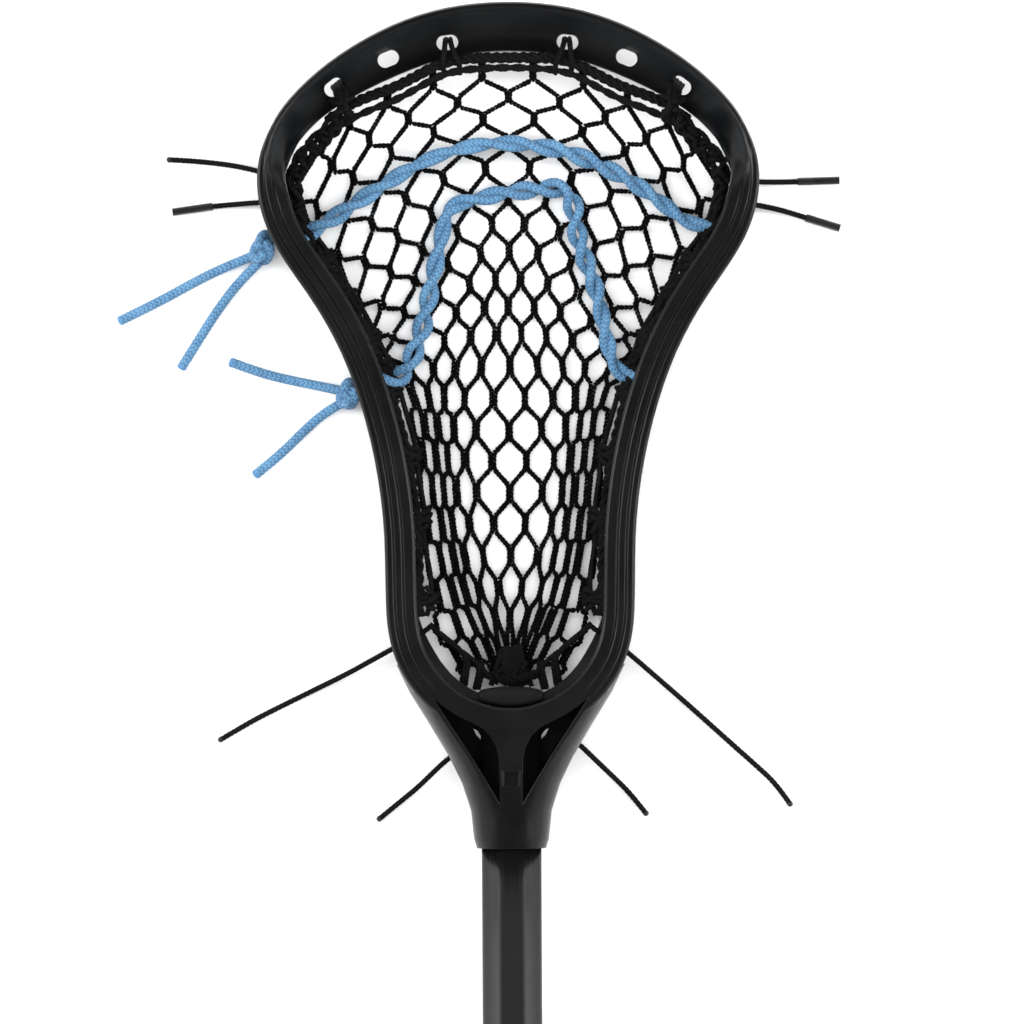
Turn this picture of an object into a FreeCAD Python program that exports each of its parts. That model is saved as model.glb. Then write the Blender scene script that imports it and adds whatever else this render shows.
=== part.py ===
import FreeCAD, Part
import math
import os
import Sketcher
from FreeCAD import Rotation, Vector

# A lacrosse stick lying face up on a flat surface, in millimetres.
# World frame: +X to the stick's right seen from its face, +Y towards the scoop, +Z out of the face.
# The origin is on the surface, below the middle of the stick.
# Head frame: the same directions, with its origin below the middle of the throat's mouth.

os.makedirs("parts", exist_ok=True)
doc = FreeCAD.newDocument("lacrosse_stick")
sheet = doc.addObject("Spreadsheet::Sheet", "Sizes")

DRIVING_SIZES = {
    "overall_length": 1080.0,
    "head_length": 314.0,
    "lie_angle": 1.0,
    # shaft and what is fixed to it
    "shaft_width": 22.2,
    "shaft_depth": 25.0,
    "shaft_flat": 9.6,
    "shaft_wall": 1.3,
    "shaft_grip_in": 44.0,
    "cap_width": 27.0,
    "cap_depth": 30.0,
    "cap_flat": 12.0,
    "cap_length": 34.0,
    "cap_end_wall": 3.5,
    "cap_edge": 2.5,
    "screw_place": 14.0,
    "screw_head_radius": 3.4,
    "screw_head_height": 1.9,
    "screw_radius": 1.5,
    "screw_length": 7.0,
    "screw_slot": 0.9,
    "fit_gap": 0.2,
    # head: the moulded frame
    "bowl_half_width": 34.5,
    "bowl_half_length": 36.0,
    "bowl_end": 52.2,
    "rail_width": 11.4,
    "rail_depth": 6.0,
    "groove_one": 3.3,
    "groove_two": 6.6,
    "groove_width": 0.9,
    "groove_depth": 0.7,
    "rail_edge": 0.9,
    "web_outer": 2.6,
    "web_inner": 6.0,
    "foot_outer": 1.4,
    "foot_inner": 8.0,
    "foot_height": 9.0,
    "face_height": 46.0,
    "scoop_width": 17.4,
    "scoop_drop": 20.0,
    "scoop_rim": 2.4,
    "scoop_plate": 3.4,
    "scoop_lip_height": 38.0,
    "slot_length": 8.1,
    "slot_width": 5.4,
    "window_length": 17.0,
    "window_corner": 4.0,
    "window_margin": 2.5,
    "string_hole": 2.1,
    "shooting_hole": 2.9,
    "recess_floor": 24.0,
    "inset_floor": 43.6,
    "inset_slope_low": 45.1,
    # soft parts
    "pad_half_width": 12.4,
    "pad_back": 52.7,
    "pad_front": 59.8,
    "pad_side_back": 54.9,
    "pad_side_front": 58.2,
    "pad_back_radius": 36.0,
    "pad_front_radius": 48.9,
    "pad_low": 18.8,
    "pad_height": 23.0,
    "net_thickness": 1.8,
    "lace_diameter": 2.2,
    "side_string_diameter": 3.2,
    "top_string_diameter": 4.4,
    "shooting_diameter": 3.7,
    "shooting_pair_diameter": 6.4,
    "knot_gap": 0.4,
    "aglet_diameter": 2.9,
}

for row, (name, size) in enumerate(DRIVING_SIZES.items(), start=1):
    sheet.set(f"A{row}", name)
    sheet.set(f"B{row}", str(size))
    sheet.setAlias(f"B{row}", name)
doc.recompute()


def size(name):
    """A driving size, read from its cell."""
    return float(getattr(sheet, name))


MOUTH_Y = size("overall_length") / 2 - size("head_length")
BUTT_Y = -size("overall_length") / 2
LIE = math.radians(size("lie_angle"))
BUTT_AXIS_Z = size("cap_depth") / 2 * math.cos(LIE)
MOUTH_AXIS_Z = BUTT_AXIS_Z + (MOUTH_Y - BUTT_Y) * math.tan(LIE)
HEAD_PLACE = FreeCAD.Placement(Vector(0, MOUTH_Y, 0), Rotation())
SHAFT_PLACE = FreeCAD.Placement(Vector(0, BUTT_Y, BUTT_AXIS_Z), Rotation(Vector(1, 0, 0), size("lie_angle")))
subparts = []


def keep(obj, label, placement=None):
    """Name a finished sub-part and put it in its place."""
    obj.Label = label
    if placement is not None:
        obj.Placement = placement
    subparts.append(obj)
    return obj


def keep_shape(label, shape, placement=HEAD_PLACE):
    """A sub-part whose shape is built by a function."""
    obj = doc.addObject("Part::Feature", label)
    obj.Shape = shape
    return keep(obj, label, placement)


# ---------------------------------------------------------------- sketches

def new_body(label):
    return doc.addObject("PartDesign::Body", "body_" + label)


def sketch_on(body, role, name):
    """An empty sketch flat on one of the body's own origin planes."""
    sketch = body.newObject("Sketcher::SketchObject", name)
    plane = next(item for item in body.Origin.OriginFeatures if item.Role == role)
    sketch.AttachmentSupport = (plane, "")
    sketch.MapMode = "FlatFace"
    return sketch


def hold_point(sketch, line, end, across, up):
    """Tie a line's end to the sketch's origin by two signed distances given as cell formulas."""
    for kind, formula in (("DistanceX", across), ("DistanceY", up)):
        start_value = getattr(sketch.getPoint(line, end), "x" if kind == "DistanceX" else "y")
        index = sketch.addConstraint(Sketcher.Constraint(kind, -1, 1, line, end, start_value))
        sketch.setExpression(f"Constraints[{index}]", formula)


def octagon_sketch(body, name, width, depth, flat, margin="0"):
    """An octagon whose four main faces carry flats, sized by cells and a margin on every side."""
    sketch = sketch_on(body, "XZ_Plane", name)
    half_w = size(width) / 2
    half_d = size(depth) / 2
    half_f = size(flat) / 2
    side = f"(Sizes.{width} / 2 + {margin})"
    face = f"(Sizes.{depth} / 2 + {margin})"
    run = f"(Sizes.{flat} / 2 + {margin} * 0.414)"
    corners = [(half_w, half_f), (half_f, half_d), (-half_f, half_d), (-half_w, half_f),
               (-half_w, -half_f), (-half_f, -half_d), (half_f, -half_d), (half_w, -half_f)]
    formulas = [(side, run), (run, face), ("-" + run, face), ("-" + side, run),
                ("-" + side, "-" + run), ("-" + run, "-" + face), (run, "-" + face), (side, "-" + run)]
    for index, corner in enumerate(corners):
        following = corners[(index + 1) % len(corners)]
        sketch.addGeometry(Part.LineSegment(Vector(*corner, 0), Vector(*following, 0)), False)
    for index in range(len(corners)):
        sketch.addConstraint(Sketcher.Constraint("Coincident", index, 2, (index + 1) % len(corners), 1))
    for index, (across, up) in enumerate(formulas):
        hold_point(sketch, index, 1, across, up)
    return sketch


def add_pad(body, sketch, name, length_formula):
    pad = body.newObject("PartDesign::Pad", name)
    pad.Profile = sketch
    pad.Reversed = True
    pad.setExpression("Length", length_formula)
    return pad


# ---------------------------------------------------------------- shaft, cap and screw

def make_shaft():
    """A hollow octagonal tube along +Y, from inside the cap to inside the throat."""
    body = new_body("shaft")
    outer = octagon_sketch(body, "shaft_outside", "shaft_width", "shaft_depth", "shaft_flat")
    add_pad(body, outer, "shaft_tube",
            "Sizes.overall_length - Sizes.head_length + Sizes.shaft_grip_in - Sizes.cap_end_wall")
    doc.recompute()
    full = body.Shape.Volume
    inner = octagon_sketch(body, "shaft_inside", "shaft_width", "shaft_depth", "shaft_flat",
                           "(-Sizes.shaft_wall)")
    bore = body.newObject("PartDesign::Pocket", "shaft_bore")
    bore.Profile = inner
    bore.Type = "ThroughAll"
    doc.recompute()
    if body.Shape.Volume > 0.5 * full:
        bore.Reversed = not bore.Reversed
        doc.recompute()
    print("shaft tube keeps", round(body.Shape.Volume / full, 3), "of the full bar")
    offset = Vector(0, size("cap_end_wall"), 0)
    body.Placement = SHAFT_PLACE.multiply(FreeCAD.Placement(offset, Rotation()))
    return body


def make_cap():
    """A rubber cup over the lower end of the shaft."""
    body = new_body("butt_cap")
    outer = octagon_sketch(body, "cap_outside", "cap_width", "cap_depth", "cap_flat")
    add_pad(body, outer, "cap_block", "Sizes.cap_length")
    doc.recompute()
    full = body.Shape.Volume
    inner = octagon_sketch(body, "cap_inside", "shaft_width", "shaft_depth", "shaft_flat", "0.1")
    inner.AttachmentOffset = FreeCAD.Placement(Vector(0, 0, -size("cap_end_wall")), Rotation())
    bore = body.newObject("PartDesign::Pocket", "cap_bore")
    bore.Profile = inner
    bore.Type = "ThroughAll"
    doc.recompute()
    if body.Shape.Volume > 0.7 * full:
        bore.Reversed = not bore.Reversed
        doc.recompute()
    print("cap keeps", round(body.Shape.Volume / full, 3), "of its block")
    end_edges = [f"Edge{i}" for i, edge in enumerate(bore.Shape.Edges, start=1)
                 if all(abs(v.Point.y) < 0.01 for v in edge.Vertexes)]
    rounded = body.newObject("PartDesign::Fillet", "cap_round")
    rounded.Base = (bore, end_edges)
    rounded.setExpression("Radius", "Sizes.cap_edge")
    doc.recompute()
    body.Placement = SHAFT_PLACE
    return body


def screw_blank(label, gap):
    """A countersunk screw standing on its head: cone below, shank above."""
    cone = doc.addObject("Part::Cone", label + "_cone")
    cone.setExpression("Radius1", f"Sizes.screw_head_radius + {gap}")
    cone.setExpression("Radius2", f"Sizes.screw_radius + {gap}")
    cone.setExpression("Height", "Sizes.screw_head_height")
    shank = doc.addObject("Part::Cylinder", label + "_shank")
    shank.setExpression("Radius", f"Sizes.screw_radius + {gap}")
    shank.setExpression("Height", f"Sizes.screw_length + {gap}")
    whole = doc.addObject("Part::Fuse", label + "_whole")
    whole.Base = cone
    whole.Tool = shank
    return whole


def make_screw():
    """The screw that holds the head on the shaft, with a crossed recess in its face."""
    blank = screw_blank("screw", "0")
    bars = []
    for index in range(2):
        bar = doc.addObject("Part::Box", f"recess_{index}")
        bar.setExpression("Length", "Sizes.screw_head_radius * 1.1")
        bar.setExpression("Width", "Sizes.screw_slot")
        bar.setExpression("Height", "Sizes.screw_head_height * 0.6")
        half = Vector(size("screw_head_radius") * 0.55, size("screw_slot") / 2, 0)
        turn = Rotation(Vector(0, 0, 1), 90 * index)
        bar.Placement = FreeCAD.Placement(turn.multVec(half) * -1, turn)
        bars.append(bar)
    cross = doc.addObject("Part::Fuse", "recess")
    cross.Base, cross.Tool = bars
    screw = doc.addObject("Part::Cut", "screw_body")
    screw.Base = blank
    screw.Tool = cross
    doc.recompute()
    return screw


# ---------------------------------------------------------------- the head's outline

def smooth(amount):
    """0 below 0, 1 above 1, with an even ramp between."""
    amount = min(1.0, max(0.0, amount))
    return amount * amount * (3 - 2 * amount)


def outline_curve():
    """Outer edge of the bowl in plan: a closed curve from the throat's centre line, right side first."""
    width = size("rail_width")
    centre_t = size("bowl_end") + size("bowl_half_length")
    points = []
    for degrees in (0, 20, 40, 60, 75, 90):
        angle = math.radians(degrees)
        across = size("bowl_half_width") * math.sin(angle)
        along = centre_t - size("bowl_half_length") * math.cos(angle)
        out = Vector(math.sin(angle) / size("bowl_half_width"), -math.cos(angle) / size("bowl_half_length"), 0)
        out.normalize()
        points.append(Vector(across, along, 0) + out * width)
    flank = [(46.5, 115), (49.2, 140), (54.5, 163), (62.6, 185), (74.6, 206), (87, 225), (93, 248)]
    scoop = [(88.4, 267), (75, 284.5), (55, 299.3), (29, 310.4)]
    points += [Vector(x, y, 0) for x, y in flank + scoop]
    left = [Vector(-point.x, point.y, 0) for point in reversed(points[1:])]
    points.append(Vector(0, size("head_length"), 0))
    curve = Part.BSplineCurve()
    curve.interpolate(Points=points + left, PeriodicFlag=True)
    return curve


OUTLINE = outline_curve()
SCOOP_MIDDLE = OUTLINE.parameter(Vector(0, size("head_length"), 0))


def station(parameter):
    """A point of the outline and the direction from it into the bowl, exactly lengthwise on the centre line."""
    point = OUTLINE.value(parameter)
    along = OUTLINE.tangent(parameter)[0]
    if parameter in (0.0, SCOOP_MIDDLE):
        return Vector(0, point.y, 0), Vector(0, math.copysign(1, along.x), 0)
    return point, Vector(-along.y, along.x, 0)


def even_parameters(count):
    """Parameters of the right half at equal steps of length, ends included."""
    points = OUTLINE.discretize(Number=count, First=0.0, Last=SCOOP_MIDDLE)
    inner = [OUTLINE.parameter(point) for point in points[1:-1]]
    return [0.0] + inner + [SCOOP_MIDDLE]


FRAME_SECTIONS = 34
INSET_SAMPLES = even_parameters(240)


def half_width(along, inward):
    """Half the bowl's width at a place along the stick, for a line set in from the outline."""
    best = 0.0
    previous = None
    for parameter in INSET_SAMPLES:
        point, inside = station(parameter)
        spot = point + inside * inward
        if previous is not None and (previous.y - along) * (spot.y - along) <= 0 and spot.y != previous.y:
            share = (along - previous.y) / (spot.y - previous.y)
            best = max(best, previous.x + share * (spot.x - previous.x))
        previous = spot
    return best


# ---------------------------------------------------------------- the head's heights

def face_z(along):
    """Height of the top rail's face: level, then down to the scoop's lip."""
    drop = size("face_height") - size("scoop_lip_height")
    return size("face_height") - drop * smooth((along - 225) / 89)


def foot_z(along):
    """Height of the bottom rail's underside: it stands on the surface along the middle of the head."""
    return 8 * (1 - smooth((along - 41) / 70)) + 16 * smooth((along - 225) / 90)


def net_z(across, along):
    """Height of the net: laced to the bottom rail, sagging towards the centre line."""
    middle = 2.4 + 9.0 * (1 - smooth((along - 58) / 62)) + 18.0 * smooth((along - 232) / 62)
    rise = 3.6 * smooth((along - 40) / 70) * (1 - smooth((along - 235) / 75))
    edge = max(half_width(along, 13.0), 1.0)
    return middle + rise * min(1.0, abs(across) / edge) ** 2


def wall_section(along):
    """Corners (inward, up) of the side: a grooved top rail, a thin web and a bottom rail."""
    top = face_z(along)
    low = foot_z(along)
    edge = size("rail_edge")
    groove = size("groove_width") / 2
    deep = size("groove_depth") * smooth((along - 46) / 24)
    rail = size("rail_width")
    bowl_end = smooth((80 - along) / 22)
    web_in = size("web_inner") + (rail - 0.3 - size("web_inner")) * bowl_end
    foot_in = size("foot_inner") + 6.0 * smooth((112 - along) / 50)
    foot_out = size("foot_outer")
    under = top - size("rail_depth")
    shelf = low + size("foot_height")
    corners = [(0, top - edge), (edge, top)]
    for centre in (size("groove_one"), size("groove_two")):
        corners += [(centre - groove, top), (centre, top - deep), (centre + groove, top)]
    corners += [(rail - edge, top), (rail, top - edge), (rail, under + 1), (web_in, under - 1)]
    corners += [(web_in, shelf + 1), (foot_in, shelf - 0.5), (foot_in, low + edge), (foot_in - edge, low)]
    corners += [(foot_out + edge, low), (foot_out, low + edge), (foot_out, shelf - 0.5)]
    corners += [(size("web_outer"), shelf + 1), (size("web_outer"), under - 1), (0, under + 1)]
    return corners


def scoop_section(along):
    """The same corners on the scoop: a rim, then a dished plate that slopes in to the back edge."""
    top = face_z(along)
    rim = size("scoop_rim")
    widening = (size("scoop_width") - size("rail_width")) * smooth((along - 266) / 46)
    run = size("rail_width") + widening - rim
    drop = size("scoop_drop")

    def front(share):
        return rim + run * share, top - 0.5 - drop * (1 - (1 - share) ** 1.5)

    def back(share):
        slope = math.atan(1.5 * drop / run * math.sqrt(1 - share))
        inward, up = front(share)
        return inward - size("scoop_plate") * math.sin(slope), up - size("scoop_plate") * math.cos(slope)

    corners = [(0, top - 1.2), (0.7, top), (1.4, top), (1.9, top - 0.1)]
    corners += [front(share) for share in (0.0, 0.08, 0.15, 0.22, 0.4, 0.52, 0.66, 0.8, 0.92, 0.98)]
    edge_in, edge_up = front(1.0)
    corners += [(edge_in, edge_up - 1.0), (edge_in - 0.8, edge_up - 2.8)]
    corners += [back(share) for share in (0.8, 0.62, 0.45, 0.28, 0.12)]
    corners += [(0, top - 4.0)]
    return corners


def side_section(parameter):
    """The frame's closed section wire at one place round the bowl."""
    point, inside = station(parameter)
    share = smooth((point.y - 236) / 36)
    corners = []
    for wall, scoop in zip(wall_section(point.y), scoop_section(point.y)):
        inward = wall[0] + share * (scoop[0] - wall[0])
        up = wall[1] + share * (scoop[1] - wall[1])
        corners.append(point + inside * inward + Vector(0, 0, up))
    return Part.makePolygon(corners + corners[:1])


def mirrored(shape):
    """The same shape on the other side of the stick's centre plane."""
    return shape.mirror(Vector(0, 0, 0), Vector(1, 0, 0))


def bowl_half():
    """The rails, the sidewall and the scoop of the right half: one section carried round the outline."""
    sections = [side_section(parameter) for parameter in even_parameters(FRAME_SECTIONS)]
    return Part.makeLoft(sections, True, False)


# ---------------------------------------------------------------- the throat

# along, half width, half width of the front face, height of the front face, height of the back
THROAT_STATIONS = [
    (0, 12.9, 5.0, 43.6, 13.2),
    (3.5, 13.9, 5.1, 44.0, 13.0),
    (14, 15.0, 5.0, 44.8, 12.6),
    (24, 18.2, 9.6, 45.6, 12.0),
    (34, 23.0, 15.8, 45.9, 11.0),
    (46.5, 30.5, 24.2, 45.9, 9.4),
    (58, 37.6, 31.6, 45.9, 8.3),
    (68, 42.4, 37.5, 45.9, 7.6),
]
SIDE_TILTS = [22, 38, 52, 66, 78, 90]
BELT_HIGH = 0.66
BELT_LOW = 0.30
BACK_TUCK = 4
WALL_BITE = 1.5
CUT_LOW = -5
CUT_TOP = 60
# Plan outlines in the throat's face: the right recess, the small gap through its floor, the square inset.
RECESS = [(28.8, 56.2), (24.6, 52.6), (20.2, 49.7), (15.0, 47.2), (10.8, 44.9), (7.6, 41.9), (5.4, 37.9),
          (4.4, 33.0), (4.1, 25.0), (4.1, 16.5), (9.0, 25.0), (15.2, 35.2), (22.6, 46.6)]
DRAIN = [(14.2, 44.2), (12.6, 43.4), (11.3, 41.4), (11.3, 39.8), (13.0, 41.6)]
INSET = [(-2.7, 23.7), (2.7, 23.7), (2.7, 28.5), (-2.7, 28.5)]
INSET_SLOPE = 2


def throat_block():
    """The solid throat: flat front and back, with side faces that curve out to the widest line."""
    wires = []
    first = math.radians(SIDE_TILTS[0])
    for along, half, front, top, low in THROAT_STATIONS:
        belt_high = low + (top - low) * BELT_HIGH
        belt_low = low + (top - low) * BELT_LOW
        right = []
        for degrees in SIDE_TILTS:
            tilt = math.radians(degrees)
            share = (math.sin(tilt) - math.sin(first)) / (1 - math.sin(first))
            rise = math.cos(tilt) / math.cos(first)
            right.append((front + (half - front) * share, belt_high + (top - belt_high) * rise))
        right += [(half, belt_low), (half - BACK_TUCK, low)]
        left = [(-x, z) for x, z in reversed(right)]
        corners = [Vector(x, along, z) for x, z in right + left]
        wires.append(Part.makePolygon(corners + corners[:1]))
    return Part.makeLoft(wires, True, True)


def prism(corners, low, high):
    """An upright block on a plan outline."""
    points = [Vector(x, y, low) for x, y in corners]
    return Part.Face(Part.makePolygon(points + points[:1])).extrude(Vector(0, 0, high - low))


def inset_room():
    """The square inset in the throat's face, with sides that slope at their top."""
    middle = sum(y for _, y in INSET) / len(INSET)
    rings = []
    for grow in (0, INSET_SLOPE):
        corners = [Vector(x + math.copysign(grow, x), y + math.copysign(grow, y - middle),
                          size("inset_slope_low") + grow) for x, y in INSET]
        rings.append(Part.makePolygon(corners + corners[:1]))
    return prism(INSET, size("inset_floor"), CUT_TOP).fuse(Part.makeLoft(rings, True, True))


def bowl_room():
    """The room inside the bowl that the throat must not fill."""
    inner = []
    for parameter in even_parameters(60):
        point, inside = station(parameter)
        if point.y < 150:
            spot = point + inside * (size("web_outer") + WALL_BITE)
            inner.append((spot.x, spot.y))
    inner[0] = (0.0, inner[0][1])
    left = [(-x, y) for x, y in reversed(inner[1:])]
    return prism(inner + left, CUT_LOW, CUT_TOP)


def socket_room():
    """The octagonal socket along the shaft's own axis, a little wider than the shaft."""
    gap = size("fit_gap") / 2
    half_w = size("shaft_width") / 2 + gap
    half_d = size("shaft_depth") / 2 + gap
    half_f = size("shaft_flat") / 2 + gap * 0.414
    corners = [(half_w, half_f), (half_f, half_d), (-half_f, half_d), (-half_w, half_f),
               (-half_w, -half_f), (-half_f, -half_d), (half_f, -half_d), (half_w, -half_f)]
    start = Vector(0, -5, MOUTH_AXIS_Z - 5 * math.tan(LIE))
    points = [start + Vector(x, 0, z) for x, z in corners]
    depth = size("shaft_grip_in") + size("fit_gap") + 5
    axis = Vector(0, math.cos(LIE), math.sin(LIE)) * depth
    return Part.Face(Part.makePolygon(points + points[:1])).extrude(axis)


def oval_cut(across, along, turn):
    """An upright slot with round ends, for a string through the scoop."""
    radius = size("slot_width") / 2
    reach = size("slot_length") / 2 - radius
    block = Part.makeBox(2 * reach, 2 * radius, CUT_TOP, Vector(-reach, -radius, 0))
    ends = [Part.makeCylinder(radius, CUT_TOP, Vector(side * reach, 0, 0)) for side in (-1, 1)]
    slot = block.fuse(ends)
    slot.Placement = FreeCAD.Placement(Vector(across, along, 5), Rotation(Vector(0, 0, 1), turn))
    return slot


SCOOP_SLOTS = [(22.4, 299.8, -8), (44.4, 293.7, -22), (64.5, 283.2, -38)]
WINDOWS = [96, 120, 144, 168, 192, 216]
STRING_HOLES = [73, 90, 108, 132, 156, 180, 204, 239.5, 248]
SHOOTING_HOLES = [169, 226]


def window_cut(along):
    """A rounded window through both sidewalls, between the rails."""
    low = foot_z(along) + size("foot_height") + size("window_margin")
    high = face_z(along) - size("rail_depth") - size("window_margin")
    length = size("window_length")
    block = Part.makeBox(240, length, high - low, Vector(-120, along - length / 2, low))
    corner_edges = [edge for edge in block.Edges if abs(edge.Vertexes[0].X - edge.Vertexes[1].X) > 1]
    return block.makeFillet(size("window_corner"), corner_edges)


def string_hole_cut(along, radius):
    """A hole through both bottom rails, square to the centre line."""
    return Part.makeCylinder(radius, 240, Vector(-120, along, hole_z(along)), Vector(1, 0, 0))


def hole_z(along):
    """Height of the string holes' centres, in the middle of the bottom rail."""
    return foot_z(along) + size("foot_height") * 0.5


def screw_place():
    """Where the screw's face lies: on the back of the collar, its shank towards the shaft."""
    return Vector(0, size("screw_place"), 12.9)


def make_head():
    """The moulded head: bowl frame and throat as one piece, opened for strings, shaft and screw."""
    side_cuts = [oval_cut(*slot) for slot in SCOOP_SLOTS]
    side_cuts += [window_cut(along) for along in WINDOWS]
    side_cuts += [string_hole_cut(along, size("string_hole")) for along in STRING_HOLES]
    side_cuts += [string_hole_cut(along, size("shooting_hole")) for along in SHOOTING_HOLES]
    half = bowl_half().cut(side_cuts)
    throat = throat_block().cut(bowl_room())
    head = half.fuse(mirrored(half)).fuse(throat)
    recess = prism(RECESS, size("recess_floor"), CUT_TOP)
    drain = prism(DRAIN, 0, CUT_TOP)
    gap = size("fit_gap") / 2
    rim = size("screw_head_radius") + gap + 0.2
    cone = Part.makeCone(rim, size("screw_radius") + gap, size("screw_head_height"), screw_place())
    well = Part.makeCylinder(rim, 6, screw_place() - Vector(0, 0, 6))
    shank = Part.makeCylinder(size("screw_radius") + gap, 12, screw_place())
    rooms = [socket_room(), recess, mirrored(recess), drain, mirrored(drain), inset_room()]
    return head.cut(rooms + [cone, well, shank])


# ---------------------------------------------------------------- cords

def cord_path(points):
    """Straight runs joined by tangent arcs, each arc as large as its two runs allow."""
    points = [Vector(*point) for point in points]
    edges = []
    radii = []
    start = points[0]
    for before, corner, after in zip(points, points[1:], points[2:]):
        come = (corner - before)
        go = (after - corner)
        shorter = min(come.Length, go.Length)
        trim = 0.45 * shorter
        turn = come.getAngle(go)
        come.normalize()
        go.normalize()
        radii.append(trim / math.tan(turn / 2))
        arc_start = corner - come * trim
        arc_end = corner + go * trim
        bisector = (go - come)
        bisector.normalize()
        centre_gap = radii[-1] / math.cos(turn / 2) - radii[-1]
        middle = corner + bisector * centre_gap
        edges.append(Part.LineSegment(start, arc_start).toShape())
        edges.append(Part.Arc(arc_start, middle, arc_end).toShape())
        start = arc_end
    edges.append(Part.LineSegment(start, points[-1]).toShape())
    return Part.Wire(edges), radii


def cord_tube(label, points, diameter):
    """A round cord along its route, with a check of its volume and a print of its bends."""
    path, radii = cord_path(points)
    direction = Vector(*points[1]) - Vector(*points[0])
    ring = Part.Wire([Part.makeCircle(diameter / 2, Vector(*points[0]), direction)])
    tube = path.makePipeShell([ring], True, False)
    expected = math.pi * diameter ** 2 / 4 * path.Length
    share = tube.Volume / expected
    print(f"{label}: length {path.Length:.1f}, radii {[round(r, 1) for r in radii]}, volume {share:.4f}")
    if abs(share - 1) > 0.01:
        raise ValueError(label + " has the wrong volume")
    return tube


def beside_wall(along_list, inward, lift):
    """Route points down the inside of the right sidewall."""
    return [(half_width(along, inward), along, foot_z(along) + lift) for along in along_list]


SIDE_STRING_STOPS = [256, 247, 237, 226, 214, 202, 188, 172, 155, 137, 118, 100, 88]
TOP_STRING_ROUTE = [(-62, 271.2), (-46, 281.0), (-25, 289.0), (0, 292.0), (25, 289.0), (46, 281.0), (62, 271.2)]
BOTTOM_STRING_ROUTE = [(-24, 70.5), (-14, 64.0), (0, 61.6), (14, 64.0), (24, 70.5)]
UPPER_ARCH = [(-77, 228.2), (-62, 238), (-45, 248.6), (-25, 258.8), (0, 263), (25, 258.8), (45, 248.6),
              (62, 238), (77, 228.2)]
LOWER_ARCH = [(-44, 173.5), (-38.5, 178.5), (-35, 189), (-31.5, 201), (-28.5, 213), (-25.5, 225),
              (-23.5, 236), (-13, 243.5), (0, 245.6), (13, 245), (23, 239), (25.8, 226), (29, 213),
              (32.2, 201), (35.2, 189), (38.5, 178.5), (44, 173.5)]


def laid_on_net(route, lift):
    """Route points carried a little above the net."""
    return [(x, y, net_z(x, y) + lift) for x, y in route]


# Free ends. Each route starts at its hole in the bottom rail and ends on the surface.
LEFT_HIGH = [(-91.6, 252.2, 8.2), (-99.5, 253.3, 6.4), (-108.5, 254.4, 2.7), (-118, 255.2, 1.3),
             (-127.3, 255.5, 1.2)]
LEFT_LOW = [(-92.0, 241.1, 6.6), (-97.6, 240.8, 5.3), (-104.4, 240.4, 2.5), (-110.8, 239.9, 1.6)]
RIGHT_HIGH = [(92.0, 247.8, 7.4), (97.0, 247.7, 6.2), (103.0, 247.8, 3.1), (108.6, 248.0, 1.6)]
RIGHT_LOW = [(91.8, 239.3, 6.4), (97.6, 238.4, 4.9), (104.8, 236.6, 2.3), (111.6, 234.5, 1.6)]
BASE_LEFT_HIGH = [(-43.0, 74.4, 9.4), (-51.0, 70.0, 8.2), (-61.0, 64.5, 4.2), (-72.5, 58.9, 1.4),
                  (-86.0, 52.4, 1.2), (-98.0, 46.4, 1.2), (-109.4, 39.6, 1.2)]
BASE_RIGHT_HIGH = [(43.0, 72.6, 9.4), (50.0, 66.6, 8.2), (59.0, 58.7, 4.2), (69.5, 49.4, 1.4),
                   (81.0, 38.9, 1.2), (91.4, 29.6, 1.2), (99.6, 22.0, 1.2), (104.8, 14.2, 1.2)]
BASE_LEFT_LOW = [(-17.6, 37.2, 9.2), (-24.0, 32.2, 8.8), (-29.0, 27.6, 7.6), (-34.8, 22.5, 4.4),
                 (-41.8, 17.1, 1.5), (-49.4, 10.8, 1.2)]
BASE_RIGHT_LOW = [(19.2, 42.6, 8.6), (25.6, 37.6, 8.2), (31.0, 33.0, 7.2), (37.4, 27.2, 4.4),
                  (44.2, 20.7, 1.5), (50.7, 12.4, 1.2)]
SHOOTING_UPPER_A = [(-94.6, 220.4, 4.8), (-103.5, 216.8, 2.9), (-114.5, 211.6, 1.95), (-129.0, 203.3, 1.9),
                    (-143.6, 195.7, 1.9)]
SHOOTING_UPPER_B = [(-93.6, 216.8, 4.6), (-100.3, 210.3, 2.8), (-108.0, 199.9, 1.95), (-114.8, 188.6, 1.9),
                    (-121.6, 177.5, 1.9)]
SHOOTING_LOWER_A = [(-62.4, 169.8, 4.2), (-71.0, 171.6, 2.6), (-81.0, 173.5, 1.95), (-92.2, 176.1, 1.9),
                    (-102.9, 179.9, 1.9)]
SHOOTING_LOWER_B = [(-61.8, 165.4, 4.0), (-68.0, 161.8, 2.5), (-75.6, 155.0, 1.95), (-84.4, 145.8, 1.9),
                    (-93.7, 138.3, 1.9)]

# label, route, diameter's cell
TAILS = [
    ("tail_left_high", LEFT_HIGH, "lace_diameter"),
    ("tail_left_low", LEFT_LOW, "lace_diameter"),
    ("tail_right_high", RIGHT_HIGH, "lace_diameter"),
    ("tail_right_low", RIGHT_LOW, "lace_diameter"),
    ("tail_base_left_high", BASE_LEFT_HIGH, "lace_diameter"),
    ("tail_base_right_high", BASE_RIGHT_HIGH, "lace_diameter"),
    ("tail_base_left_low", BASE_LEFT_LOW, "lace_diameter"),
    ("tail_base_right_low", BASE_RIGHT_LOW, "lace_diameter"),
    ("shooting_tail_upper_a", SHOOTING_UPPER_A, "shooting_diameter"),
    ("shooting_tail_upper_b", SHOOTING_UPPER_B, "shooting_diameter"),
    ("shooting_tail_lower_a", SHOOTING_LOWER_A, "shooting_diameter"),
    ("shooting_tail_lower_b", SHOOTING_LOWER_B, "shooting_diameter"),
]
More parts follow.
